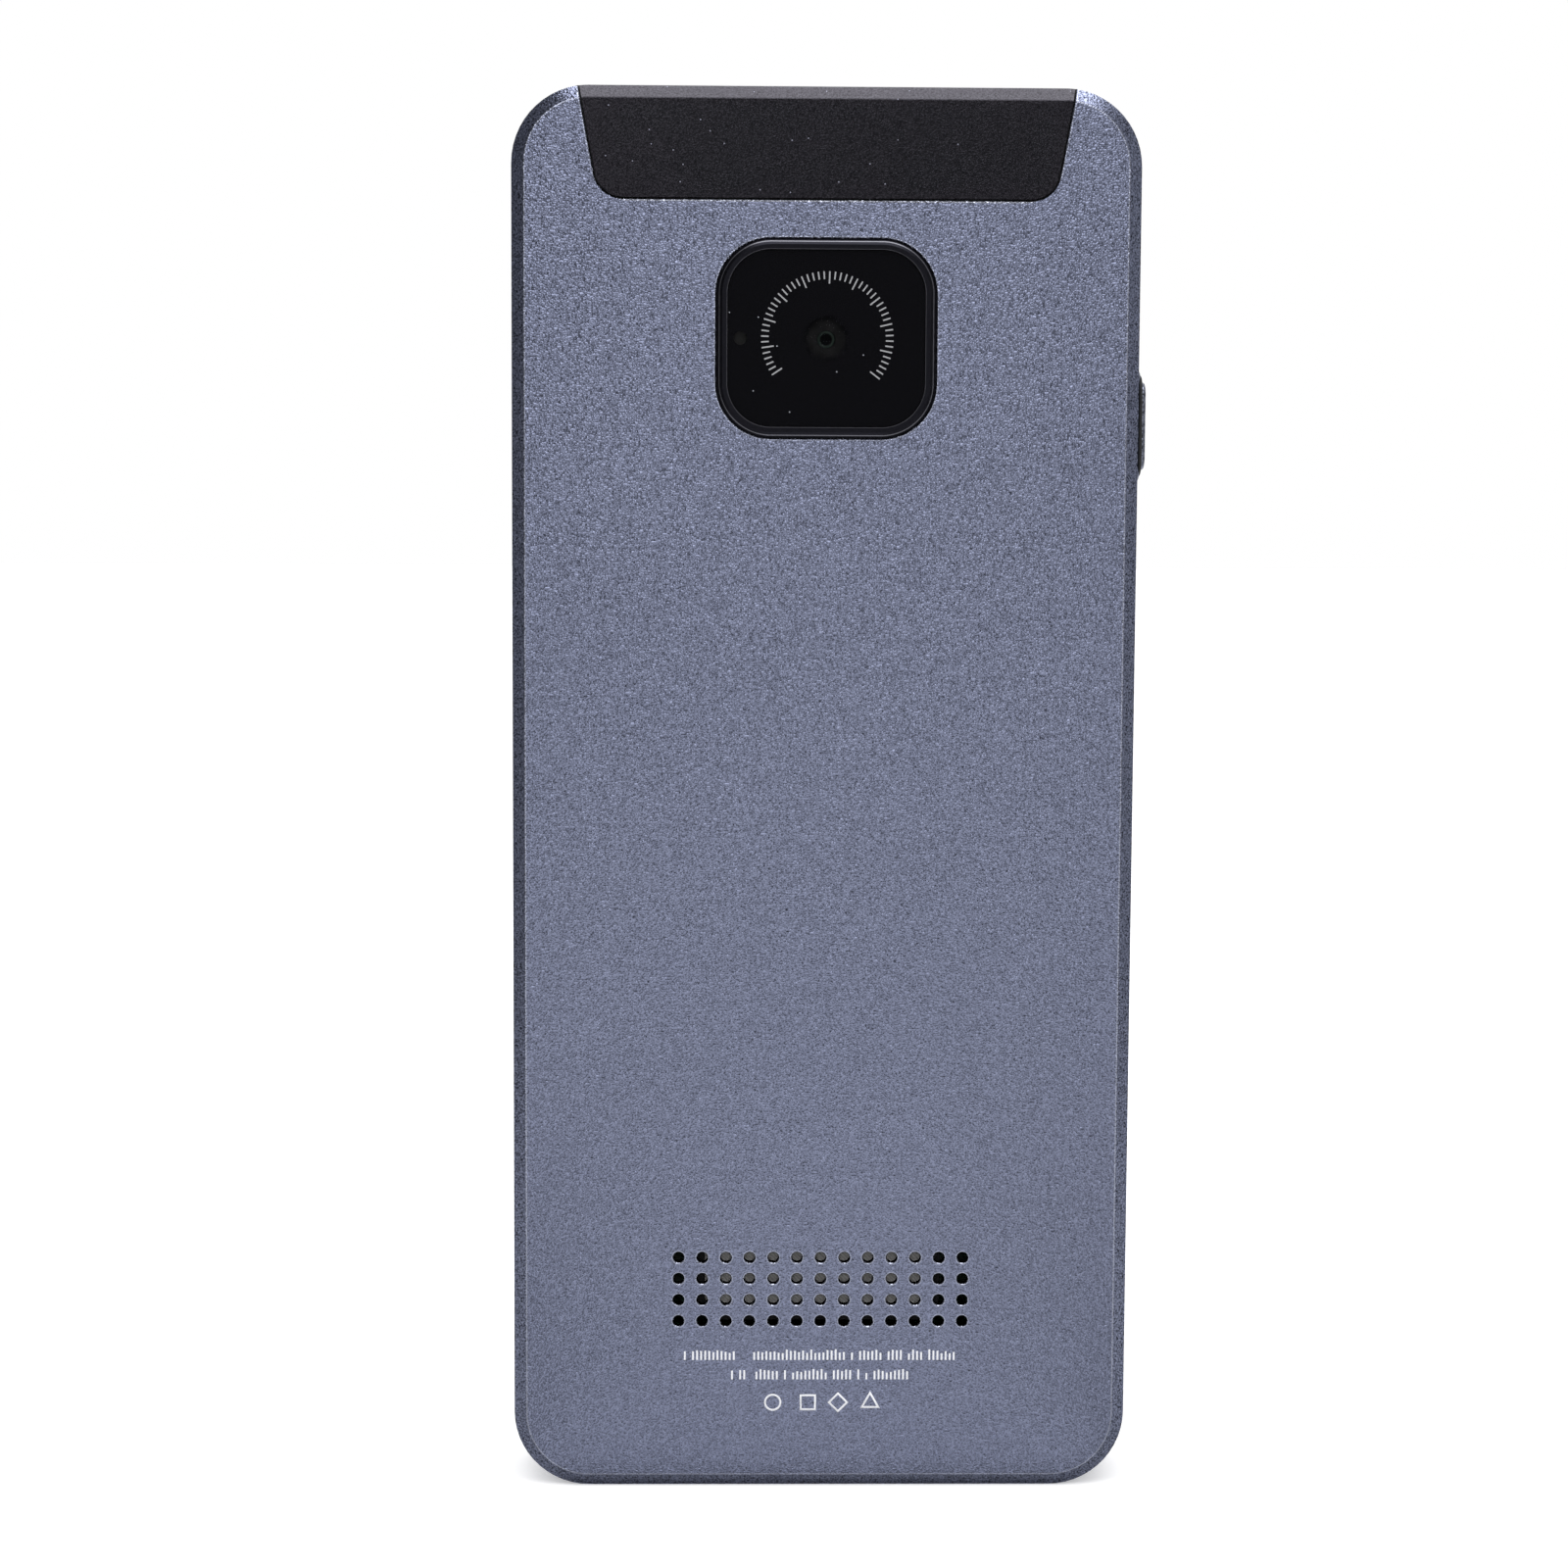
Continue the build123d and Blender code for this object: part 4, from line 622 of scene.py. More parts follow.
# %% [markdown]
# The camera glass is clear glass printed black on its inner side, apart from a round spot in
# front of the lens where the ink fades out. So one material serves: an opaque black under a
# polished surface, which becomes see-through within the spot. It does so with Alpha rather
# than with Transmission: the glass is so thin that the bending of light doesn't show, and a
# see-through surface leaves the dark barrel behind it dark. The mask is worked out from
# Object coordinates, so it stays where the lens is. A few specks of dust lie on the glass,
# as they do on any real one.

# %% Camera glass
lens_low, lens_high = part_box("camera_lens")
lens_centre = (lens_low + lens_high) / 2
barrel_low, barrel_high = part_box("camera_barrel")


def disc(tree, coordinates, centre, radius, edge):
    """1 within radius of the line of sight through centre, 0 outside, with a soft edge."""
    offset = add(tree, "ShaderNodeVectorMath", (coordinates, centre), operation="SUBTRACT")
    across = add(tree, "ShaderNodeVectorMath", (offset, (1.0, 0.0, 1.0)), operation="MULTIPLY")
    distance = add(tree, "ShaderNodeVectorMath", {"Vector": across}, operation="LENGTH")
    return add(
        tree, "ShaderNodeMapRange",
        {"Value": distance.outputs["Value"], "From Min": radius + edge, "From Max": radius},
    )


def back_printed_glass():
    """Polished glass over black ink: deep black, a sharp reflection and a clear spot for the lens."""
    material, tree, coordinates = new_material("back_printed_camera_glass")
    clear_radius, clear_edge = 0.62 * (barrel_high.x - barrel_low.x) / 2, 0.55 * MM
    clear = disc(tree, coordinates, lens_centre, clear_radius, clear_edge)
    cover = add(tree, "ShaderNodeMapRange", {"Value": clear, "To Min": 1.0, "To Max": 0.15})
    specks = dust_and_glint_specks(tree, coordinates, spacing_mm=1.4, share=0.05, size_mm=0.11)
    colour = add(
        tree, "ShaderNodeMix",
        {"Factor_Float": specks, "A_Color": linear("#09090C"), "B_Color": linear("#989CA4")},
        data_type="RGBA",
    )
    ripple = add(tree, "ShaderNodeTexNoise", {"Vector": coordinates, "Scale": per(6.0), "Detail": 1.0})
    polish = add(tree, "ShaderNodeBump", {"Height": ripple, "Strength": 1.0, "Distance": 0.0004 * MM})
    roughness = add(tree, "ShaderNodeMapRange", {"Value": specks, "To Min": 0.03, "To Max": 0.6})
    shader = add(
        tree, "ShaderNodeBsdfPrincipled",
        {
            "Base Color": colour.outputs["Result"],
            "Roughness": roughness,
            "IOR": 1.5,
            "Alpha": cover,
            "Normal": polish,
        },
    )
    add(tree, "ShaderNodeOutputMaterial", {"Surface": shader})
    return material


finishes["camera_glass"] = back_printed_glass()
print("lens at", [round(value / MM, 2) for value in lens_centre])

# %% [markdown]
# The lens under the glass is a bead of glass with a green coating against reflections, set in
# a black barrel. The green that such a coating reflects near its rim is painted on the dark
# bead as a ring, a painted reflection. The shader could work out the colours of such a thin
# film, but a ring drawn on a dark bead is easier to steer.

# %% Lens
def coated_lens():
    """A dark glass bead whose coating swallows reflections, with a painted green reflection ring at its rim.
    """
    material, tree, coordinates = new_material("coated_lens_glass")
    radius = (lens_high.x - lens_low.x) / 2
    centre_spot = disc(tree, coordinates, lens_centre, 0.62 * radius, 0.2 * radius)
    # painted reflection: a green ring outside the dark middle
    colour = add(
        tree, "ShaderNodeMix",
        {"Factor_Float": centre_spot, "A_Color": linear("#3A4842"), "B_Color": linear("#060808")},
        data_type="RGBA",
    )
    blur = add(tree, "ShaderNodeTexNoise", {"Vector": coordinates, "Scale": per(0.5)})
    roughness = add(tree, "ShaderNodeMapRange", {"Value": blur, "To Min": 0.05, "To Max": 0.12})
    shader = add(
        tree, "ShaderNodeBsdfPrincipled",
        {
            "Base Color": colour.outputs["Result"],
            "Roughness": roughness,
            "IOR": 1.6,
            "Specular IOR Level": 0.12,
        },
    )
    add(tree, "ShaderNodeOutputMaterial", {"Surface": shader})
    return material


finishes["lens_glass"] = coated_lens()
print("lens is", round((lens_high.x - lens_low.x) / MM, 2), "mm across")

# %% [markdown]
# Most other finishes are one idea with other numbers: two shades of one colour that follow a
# pattern, with gloss and relief that follow the same pattern. The pattern is what the making
# leaves behind: the grain of a mould, the streaks of a rolling mill, the cells of a foam or
# the threads of a cloth. One recipe makes them, and each finish says its own values. Streaks
# are a grain that is stretched along the direction in which the metal was rolled or cut.

# %% A recipe for plain finishes
def plain_finish(name, shades, gloss, pattern, depth_mm, stretch=(1.0, 1.0, 1.0), metallic=0.0):
    """Two shades, two roughness values and a relief, which all follow one pattern."""
    material, tree, coordinates = new_material(name)
    kind, settings, inputs = pattern
    stretched = add(tree, "ShaderNodeMapping", {"Vector": coordinates, "Scale": stretch})
    marks = add(tree, kind, {"Vector": stretched, **inputs}, **settings)
    dark, light = shades
    colour = add(
        tree, "ShaderNodeMix",
        {"Factor_Float": marks, "A_Color": linear(dark), "B_Color": linear(light)},
        data_type="RGBA",
    )
    smooth, rough = gloss
    roughness = add(tree, "ShaderNodeMapRange", {"Value": marks, "To Min": smooth, "To Max": rough})
    relief = add(tree, "ShaderNodeBump", {"Height": marks, "Strength": 1.0, "Distance": depth_mm * MM})
    shader = add(
        tree, "ShaderNodeBsdfPrincipled",
        {
            "Base Color": colour.outputs["Result"],
            "Metallic": metallic,
            "Roughness": roughness,
            "Normal": relief,
        },
    )
    add(tree, "ShaderNodeOutputMaterial", {"Surface": shader})
    return material


def grain(size_mm, detail=2.0):
    """A cloudy, even grain, as spark erosion or blasting leaves in a mould."""
    return "ShaderNodeTexNoise", {}, {"Scale": per(size_mm), "Detail": detail}


def cells(size_mm):
    """Round cells side by side, as in foam."""
    return "ShaderNodeTexVoronoi", {}, {"Scale": per(size_mm)}


def threads(pitch_mm, direction):
    """Ridges at an even pitch, as threads, ribs or printed tracks make."""
    wave_per_band = math.pi / 10  # the node repeats every 2 pi / 20 of its own length
    return (
        "ShaderNodeTexWave",
        {"bands_direction": direction},
        {"Scale": wave_per_band * per(pitch_mm), "Distortion": 0.4},
    )


along_x, along_z = (0.06, 1.0, 1.0), (1.0, 1.0, 0.06)
print("rolled metal is stretched", round(1 / along_x[0]), "times along its rolling direction")

# %% [markdown]
# The trim round the camera window is milled from aluminium, blasted and anodised black. On
# its outer bevel and along its inner edge run two hair-thin lines of painted highlight, where
# those edges would catch the light. Both follow the opening in the case, which is a rounded
# rectangle, so the nodes that draw the painted highlight lines of the case draw these too.

# %% Trim of the camera window
def black_anodised_trim():
    """Satin black metal with a painted highlight line on its bevel and a fainter one at its inner edge."""
    material, tree, coordinates = new_material("black_anodised_trim")
    outside = outside_rectangle(tree, coordinates, camera_middle, cut_half, cut_corner)
    outer_highlight = line_at(tree, outside, place=-0.3 * MM, width=0.08 * MM, share=0.36)
    inner_highlight = line_at(tree, outside, place=-1.0 * MM, width=0.06 * MM, share=0.16)
    lines = add(tree, "ShaderNodeMath", (outer_highlight, inner_highlight), operation="ADD")
    blasting = add(tree, "ShaderNodeTexNoise", {"Vector": coordinates, "Scale": per(0.15)})
    dye = add(
        tree, "ShaderNodeMix",
        {"Factor_Float": blasting, "A_Color": linear("#1D1D22"), "B_Color": linear("#25252B")},
        data_type="RGBA",
    )
    # painted highlights on the bevel and at the inner edge, in a pale grey
    colour = add(
        tree, "ShaderNodeMix",
        {"Factor_Float": lines, "A_Color": dye.outputs["Result"], "B_Color": linear("#A9A9B2")},
        data_type="RGBA",
    )
    roughness = add(tree, "ShaderNodeMapRange", {"Value": blasting, "To Min": 0.26, "To Max": 0.36})
    shader = add(
        tree, "ShaderNodeBsdfPrincipled",
        {"Base Color": colour.outputs["Result"], "Metallic": 1.0, "Roughness": roughness},
    )
    add(tree, "ShaderNodeOutputMaterial", {"Surface": shader})
    return material


finishes["trim_black"] = black_anodised_trim()
print("the opening for the camera is", round(2 * cut_half.x / MM), "mm wide")

# %% [markdown]
# Two small metal parts stand out of the side of the case, and each was finished in a way of
# its own. The collar was machined and anodised darker than the case, so it is a satin metal
# with faint cutter marks. The side key was tumbled in a drum of grit. That polishes it but
# leaves it uneven, so what it mirrors breaks up into dark and bright patches. These patches
# come partly from its coarse relief and partly from painted reflection, in a colour that runs
# from dark to pale. The recipe for plain finishes makes both, with metal values and a coarser
# grain on the key.

# %% Metals round the case
finishes["collar_metal"] = plain_finish(
    "satin_anodised_collar", ("#40455A", "#565C70"), (0.16, 0.24), grain(0.25), 0.002, along_z, metallic=1.0
)
# the key's shades run from dark to pale: painted reflection patches beside its relief
finishes["key_metal"] = plain_finish(
    "tumbled_aluminium_key", ("#2B2E38", "#9296A6"), (0.05, 0.12), grain(0.35, 1.0), 0.07, metallic=1.0
)
print("two more metals beside the case")

# %% [markdown]
# The front is one pane of polished glass with black ink behind its border, and the display
# behind the rest is a touch greyer when it is off. A border could be a second sheet, but the
# distance from the display's outline draws it in the material. The two talk keys are moulded
# in satin black plastic, each with a plain ring printed on it. Their rings come from one
# pattern: X is folded at the middle, so what is drawn for the right key holds for the left.

# %% Front glass and talk keys
display_low, display_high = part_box("display_panel")


def display_glass():
    """Polished glass over a black ink border and a display that is switched off."""
    material, tree, coordinates = new_material("display_cover_glass")
    middle, half = (display_low + display_high) / 2, (display_high - display_low) / 2
    outside = outside_rectangle(tree, coordinates, middle, half, 0.5 * MM)
    on_display = add(tree, "ShaderNodeMapRange", {"Value": outside, "From Max": -0.05 * MM})
    colour = add(
        tree, "ShaderNodeMix",
        {"Factor_Float": on_display, "A_Color": linear("#08080A"), "B_Color": linear("#14161A")},
        data_type="RGBA",
    )
    ripple = add(tree, "ShaderNodeTexNoise", {"Vector": coordinates, "Scale": per(9.0), "Detail": 1.0})
    polish = add(tree, "ShaderNodeBump", {"Height": ripple, "Strength": 1.0, "Distance": 0.0006 * MM})
    smears = add(tree, "ShaderNodeMapRange", {"Value": ripple, "To Min": 0.03, "To Max": 0.08})
    shader = add(
        tree, "ShaderNodeBsdfPrincipled",
        {"Base Color": colour.outputs["Result"], "Roughness": smears, "IOR": 1.5, "Normal": polish},
    )
    add(tree, "ShaderNodeOutputMaterial", {"Surface": shader})
    return material


def printed_talk_key():
    """Satin moulded key with one plain white ring printed on it, the same on both keys."""
    material, tree, coordinates = new_material("moulded_talk_key")
    low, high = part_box("talk_key_right")
    centre = (low + high) / 2
    axes = add(tree, "ShaderNodeSeparateXYZ", {"Vector": coordinates})
    mirrored = add(tree, "ShaderNodeMath", {"Value": axes.outputs["X"]}, operation="ABSOLUTE")
    folded = add(
        tree, "ShaderNodeCombineXYZ", {"X": mirrored, "Y": axes.outputs["Y"], "Z": axes.outputs["Z"]}
    )
    ring_radius, ring_line, print_edge = 2.2 * MM, 0.35 * MM, 0.03 * MM
    outer = disc(tree, folded, centre, ring_radius, print_edge)
    inner = disc(tree, folded, centre, ring_radius - ring_line, print_edge)
    ring = add(tree, "ShaderNodeMath", (outer, inner), operation="SUBTRACT")
    on_front = add(
        tree, "ShaderNodeMath", (axes.outputs["Y"], high.y - print_edge), operation="GREATER_THAN"
    )
    printed = add(tree, "ShaderNodeMath", (ring, on_front), operation="MULTIPLY")
    texture = add(tree, "ShaderNodeTexNoise", {"Vector": coordinates, "Scale": per(0.2), "Detail": 3.0})
    colour = add(
        tree, "ShaderNodeMix",
        {"Factor_Float": printed, "A_Color": linear("#1C1D20"), "B_Color": linear("#C9CBD0")},
        data_type="RGBA",
    )
    roughness = add(tree, "ShaderNodeMapRange", {"Value": texture, "To Min": 0.3, "To Max": 0.5})
    relief = add(tree, "ShaderNodeBump", {"Height": texture, "Strength": 1.0, "Distance": 0.006 * MM})
    shader = add(
        tree, "ShaderNodeBsdfPrincipled",
        {"Base Color": colour.outputs["Result"], "Roughness": roughness, "Normal": relief},
    )
    add(tree, "ShaderNodeOutputMaterial", {"Surface": shader})
    return material


finishes["front_glass"] = display_glass()
finishes["key_plastic"] = printed_talk_key()
print("display is", [round(value / MM, 1) for value in display_high - display_low], "mm")

# %% [markdown]
# What lies in the openings shows through them, so it has to look right in the dark. The
# loudspeaker's membrane is pale to come out grey at the bottom of its deep holes, and the
# foam round it is black. The plain recipe serves for all of them. The comments below name
# each material and what it gives the eye.

# %% Behind the openings
# pressed cloth dome: pale, so that it shows as grey at the bottom of the deep grille holes
finishes["membrane_grey"] = plain_finish(
    "woven_speaker_membrane", ("#A4A3A2", "#C2C1C0"), (0.6, 0.8), threads(0.18, "DIAGONAL"), 0.02
)
# open-cell foam: swallows light, so the outer holes look black
finishes["foam"] = plain_finish("black_cell_foam", ("#08080A", "#131315"), (0.85, 1.0), cells(0.35), 0.08)
# liquid crystal polymer from a polished mould: the barrel round the lens, black and glossy
finishes["camera_plastic"] = plain_finish(
    "glossy_lens_barrel_plastic", ("#0B0B0D", "#101012"), (0.16, 0.24), grain(0.5), 0.001
)
# the same polymer in the sockets and the tongue of the charging socket: satin, with flow lines
finishes["socket_plastic"] = plain_finish(
    "liquid_crystal_polymer", ("#151618", "#1F2023"), (0.4, 0.55), grain(0.1), 0.003, along_z
)
# deep-drawn stainless steel of the shell, the cans, the microphones and switches: bright satin
finishes["can_steel"] = plain_finish(
    "deep_drawn_steel", ("#9A9B9C", "#B4B5B5"), (0.24, 0.38), grain(0.3), 0.003, along_x, metallic=1.0
)
# moulded rubber of the boots, plungers and seals: a soft black that hardly shines
finishes["silicone"] = plain_finish(
    "moulded_silicone_rubber", ("#0D0E10", "#17181A"), (0.55, 0.7), grain(0.25), 0.006
)
print("six finishes behind the openings")

# %% [markdown]
# Nothing inside the closed case is seen, but anyone who takes the model apart should find
# each piece in its own material. Springs, films, tapes, foils, screws, boards, trays, chips
# and baskets differ in shade, gloss, grain and in the direction they were rolled or moulded,
# and the plain recipe has a value for each of these.

# %% Inside the case
# gold-plated spring brass, rolled along its length: warm yellow streaks
finishes["spring_brass"] = plain_finish(
    "gold_plated_spring_brass", ("#B4913F", "#CFAE5E"), (0.2, 0.32), grain(0.2), 0.002, along_x, metallic=1.0
)
# polyimide film with copper tracks under it: amber brown with fine ridges
finishes["flex_film"] = plain_finish(
    "polyimide_ribbon_with_tracks", ("#7A4A18", "#A56A24"), (0.25, 0.4), threads(0.35, "X"), 0.01
)
# acrylic foam tape: a dull black with an uneven skin
finishes["adhesive"] = plain_finish("acrylic_foam_tape", ("#17181A", "#232427"), (0.6, 0.8), cells(0.2), 0.02)
# aluminium laminate of the pouch, slightly crinkled: silver that breaks what it mirrors
finishes["battery_foil"] = plain_finish(
    "aluminium_laminate_pouch", ("#A3A5A9", "#BEC0C3"), (0.28, 0.42), grain(3.5, 3.0), 0.05, metallic=1.0
)
# zinc-plated screw steel: a cool, softly shining grey
finishes["screw_steel"] = plain_finish(
    "zinc_plated_screw_steel", ("#8A8D91", "#A9ACB0"), (0.28, 0.42), grain(0.15), 0.004, metallic=1.0
)
# glass-cloth laminate under solder mask: green, with the weave just showing
finishes["board_laminate"] = plain_finish(
    "solder_masked_glass_laminate", ("#123A26", "#1B5236"), (0.3, 0.42), threads(0.5, "DIAGONAL"), 0.006
)
# tempered stainless sheet, brushed along its length: grey with upright streaks
finishes["tray_steel"] = plain_finish(
    "brushed_stainless_sheet", ("#7F8285", "#A0A3A6"), (0.26, 0.4), grain(0.15), 0.003, along_z, metallic=1.0
)
# the display's glass sandwich: black while it is off, and nearly a mirror
finishes["panel_glass"] = plain_finish(
    "display_panel_glass", ("#0D0E11", "#131519"), (0.06, 0.12), grain(5.0), 0.0008
)
# transfer-moulded epoxy of the chips: dark grey with a dull, even grain
finishes["chip_plastic"] = plain_finish(
    "moulded_chip_epoxy", ("#1B1C1E", "#2A2B2E"), (0.45, 0.6), grain(0.12), 0.006
)
# glass-filled polycarbonate of the mid frame: black, with fibres that dull its gloss
finishes["frame_plastic"] = plain_finish(
    "glass_filled_frame_plastic", ("#17181A", "#222326"), (0.42, 0.58), grain(0.3), 0.008
)
# moulded basket of the loudspeaker: a plain satin black
finishes["speaker_plastic"] = plain_finish(
    "moulded_speaker_basket", ("#141517", "#1F2022"), (0.4, 0.55), grain(0.25), 0.006
)
# nickel plate over the magnet's iron: a mid grey with a soft shine
finishes["magnet_steel"] = plain_finish(
    "nickel_plated_magnet", ("#85868A", "#A2A3A7"), (0.2, 0.34), grain(0.4), 0.004, metallic=1.0
)
# filled silicone sheet between chip and can: putty grey with hardly any gloss
finishes["thermal_grey"] = plain_finish(
    "filled_silicone_pad", ("#777C83", "#8D929A"), (0.6, 0.75), grain(0.4, 3.0), 0.012
)
print("finishes:", len(finishes))

# %% [markdown]
# The fine parts that follow repeat along a line or a circle, which is what Geometry Nodes are
# good at. A tree is a small machine with named inputs. It is built once, then run with other
# values for each piece. The result is kept as a plain mesh and the modifier is removed, so
# that nothing is left to evaluate later.

# %% Helpers for Geometry Nodes
def new_tree(name, sockets):
    """An empty Geometry Nodes tree with these named inputs, and the outputs that carry them."""
    tree = bpy.data.node_groups.new(name, "GeometryNodeTree")
    tree.interface.new_socket("Geometry", in_out="OUTPUT", socket_type="NodeSocketGeometry")
    for socket, kind in {**sockets, "Material": "Material"}.items():
        tree.interface.new_socket(socket, in_out="INPUT", socket_type="NodeSocket" + kind)
    return tree, add(tree, "NodeGroupInput").outputs


def end_tree(tree, geometry, given):
    """Make the instances real, give them their material and hand them out."""
    real = add(tree, "GeometryNodeRealizeInstances", {"Geometry": geometry})
    painted = add(tree, "GeometryNodeSetMaterial", {"Geometry": real, "Material": given["Material"]})
    tree.links.new(painted.outputs["Geometry"], add(tree, "NodeGroupOutput").inputs["Geometry"])
    return tree


def keep_piece(name, mesh):
    """Put a finished mesh into the scene as a piece that rides on the device."""
    piece = bpy.data.objects.new(name, mesh)
    scene.collection.objects.link(piece)
    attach(piece, "device")
    print(name, "has", len(mesh.polygons), "faces")


def grow(name, tree, values):
    """Run a tree with these values and keep what it makes as a plain mesh."""
    carrier = bpy.data.objects.new(name + "_carrier", bpy.data.meshes.new(name + "_empty"))
    scene.collection.objects.link(carrier)
    modifier = carrier.modifiers.new("nodes", "NODES")
    modifier.node_group = tree
    for socket in tree.interface.items_tree:
        if socket.name in values:
            modifier[socket.identifier] = values[socket.name]
    evaluated = carrier.evaluated_get(bpy.context.evaluated_depsgraph_get())
    mesh = bpy.data.meshes.new_from_object(evaluated)
    mesh.name = name
    bpy.data.objects.remove(carrier)
    keep_piece(name, mesh)


print("trees end in Realize Instances and Set Material")

# %% [markdown]
# Print on the back is pad-printed ink, a few hundredths of a millimetre thick. It says nothing
# here: a scale of ticks, two rows of strokes and four outlines only keep the fine print's
# place and weight. A texture could paint them, but as thin meshes they stay crisp from near.

# %% Inks
# matt inks: a grey one that stays quiet on black glass, and a pale one that reads on the metal
tick_ink = plain_finish("pad_printed_grey_ink", ("#8A8B8E", "#96979A"), (0.45, 0.6), grain(0.1), 0.001)
fine_ink = plain_finish("pad_printed_pale_ink", ("#DCDDE2", "#E6E7EB"), (0.45, 0.6), grain(0.1), 0.001)
ink_height = 0.03 * MM
print("ink is", ink_height / MM, "mm thick, half of it sunk into the surface")

# %% [markdown]
# Round the lens runs a scale of plain ticks, every fifth one longer. Each tick is a bar that
# is turned about the lens by its own number in the row. A short and a long bar are made once
# each: the long one stands on every fifth place, and the short one on all the others.

# %% Scale round the lens
def ring_of_ticks():
    """Bars round a centre, in a plane that faces Y, with every fifth one longer."""
    tree, given = new_tree(
        "ring_of_ticks",
        {
            "Centre": "Vector", "Radius": "Float", "Count": "Int", "First Angle": "Float",
            "Angle Step": "Float", "Width": "Float", "Depth": "Float", "Short": "Float", "Long": "Float",
        },
    )
    places = add(
        tree, "GeometryNodeMeshLine",
        {"Count": given["Count"], "Start Location": given["Centre"], "Offset": (0.0, 0.0, 0.0)},
    )
    number = add(tree, "GeometryNodeInputIndex")
    angle = add(
        tree, "ShaderNodeMath", (number, given["Angle Step"], given["First Angle"]), operation="MULTIPLY_ADD"
    )
    turn = add(tree, "ShaderNodeCombineXYZ", {"Y": angle})
    fifth = add(tree, "ShaderNodeMath", (number, 5.0), operation="MODULO")
    is_fifth = add(tree, "ShaderNodeMath", (fifth, 0.5), operation="LESS_THAN")
    is_other = add(tree, "ShaderNodeMath", (1.0, is_fifth), operation="SUBTRACT")
    rings = add(tree, "GeometryNodeJoinGeometry")
    for length, chosen in ((given["Short"], is_other), (given["Long"], is_fifth)):
        size = add(tree, "ShaderNodeCombineXYZ", {"X": given["Width"], "Y": given["Depth"], "Z": length})
        bar = add(tree, "GeometryNodeMeshCube", {"Size": size})
        half = add(tree, "ShaderNodeMath", (length, 0.5), operation="MULTIPLY")
        middle = add(tree, "ShaderNodeMath", (given["Radius"], half), operation="SUBTRACT")
        outwards = add(tree, "ShaderNodeCombineXYZ", {"Z": middle})
        bar_out = add(tree, "GeometryNodeTransform", {"Geometry": bar, "Translation": outwards})
        set_of_bars = add(
            tree, "GeometryNodeInstanceOnPoints",
            {"Points": places, "Selection": chosen, "Instance": bar_out, "Rotation": turn},
        )
        tree.links.new(set_of_bars.outputs["Instances"], rings.inputs["Geometry"])
    return end_tree(tree, rings, given)


ticks = 51
first_angle, last_angle = math.radians(-123.5), math.radians(127.3)  # clockwise from the top
grow(
    "scale_round_lens", ring_of_ticks(),
    {
        "Centre": Vector((0.08 * MM, glass_low.y, camera_middle.z + 0.03 * MM)),
        "Radius": 6.0 * MM,
        "Count": ticks,
        "First Angle": first_angle,
        "Angle Step": (last_angle - first_angle) / (ticks - 1),
        "Width": 0.13 * MM,
        "Depth": ink_height,
        "Short": 0.7 * MM,
        "Long": 1.1 * MM,
        "Material": tick_ink,
    },
)

# %% [markdown]
# A row of bars on a line serves twice: as strokes of fine print, each of its own height with
# a gap here and there, and as the even row of contact pads in the charging socket, which has
# no gap and one height. Each row's random heights and gaps come from a fixed seed.

# %% Rows of strokes and contact pads
def row_of_bars():
    """Bars side by side that share a foot line; their heights and gaps are random within limits."""
    tree, given = new_tree(
        "row_of_bars",
        {
            "Count": "Int", "First Place": "Vector", "Step": "Vector", "Size": "Vector",
            "Shortest": "Float", "Gap Share": "Float", "Seed": "Int",
        },
    )
    places = add(
        tree, "GeometryNodeMeshLine",
        {"Count": given["Count"], "Start Location": given["First Place"], "Offset": given["Step"]},
    )
    bar = add(tree, "GeometryNodeMeshCube", {"Size": given["Size"]})
    half_up = add(tree, "ShaderNodeVectorMath", (given["Size"], (0.0, 0.0, 0.5)), operation="MULTIPLY")
    standing = add(tree, "GeometryNodeTransform", {"Geometry": bar, "Translation": half_up})
    dice = add(
        tree, "FunctionNodeRandomValue",
        {"Min_001": 0.0, "Max_001": 1.0, "Seed": given["Seed"]},
        data_type="FLOAT",
    )
    present = add(tree, "ShaderNodeMath", (dice, given["Gap Share"]), operation="GREATER_THAN")
    next_seed = add(tree, "ShaderNodeMath", (given["Seed"], 1.0), operation="ADD")
    height = add(
        tree, "FunctionNodeRandomValue",
        {"Min_001": given["Shortest"], "Max_001": 1.0, "Seed": next_seed},
        data_type="FLOAT",
    )
    stretch = add(tree, "ShaderNodeCombineXYZ", {"X": 1.0, "Y": 1.0, "Z": height})
    bars = add(
        tree, "GeometryNodeInstanceOnPoints",
        {"Points": places, "Selection": present, "Instance": standing, "Scale": stretch},
    )
    return end_tree(tree, bars, given)


bar_tree = row_of_bars()
cover_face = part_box("rear_cover")[0].y
stroke_pitch, stroke_width, stroke_height = 0.38 * MM, 0.17 * MM, 1.0 * MM
stroke_rows = {  # left end, right end and foot line in mm, and the seed
    "upper": (-12.6, 12.8, 12.1, 4),
    "lower": (-8.2, 8.45, 10.25, 9),
}
for name, (left, right, foot, seed) in stroke_rows.items():
    grow(
        "fine_print_" + name, bar_tree,
        {
            "Count": round((right - left) * MM / stroke_pitch),
            "First Place": Vector((left * MM, cover_face, foot * MM)),
            "Step": Vector((stroke_pitch, 0, 0)),
            "Size": Vector((stroke_width, ink_height, stroke_height)),
            "Shortest": 0.6,
            "Gap Share": 0.16,
            "Seed": seed,
            "Material": fine_ink,
        },
    )
tongue_low, tongue_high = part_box("usb_tongue")
tongue_middle = (tongue_low + tongue_high) / 2
pad_count, pad_pitch, pad_size = 12, 0.5 * MM, Vector((0.25 * MM, 0.04 * MM, 1.6 * MM))
tongue_half, pad_foot = 0.35 * MM, tongue_low.z + 0.35 * MM
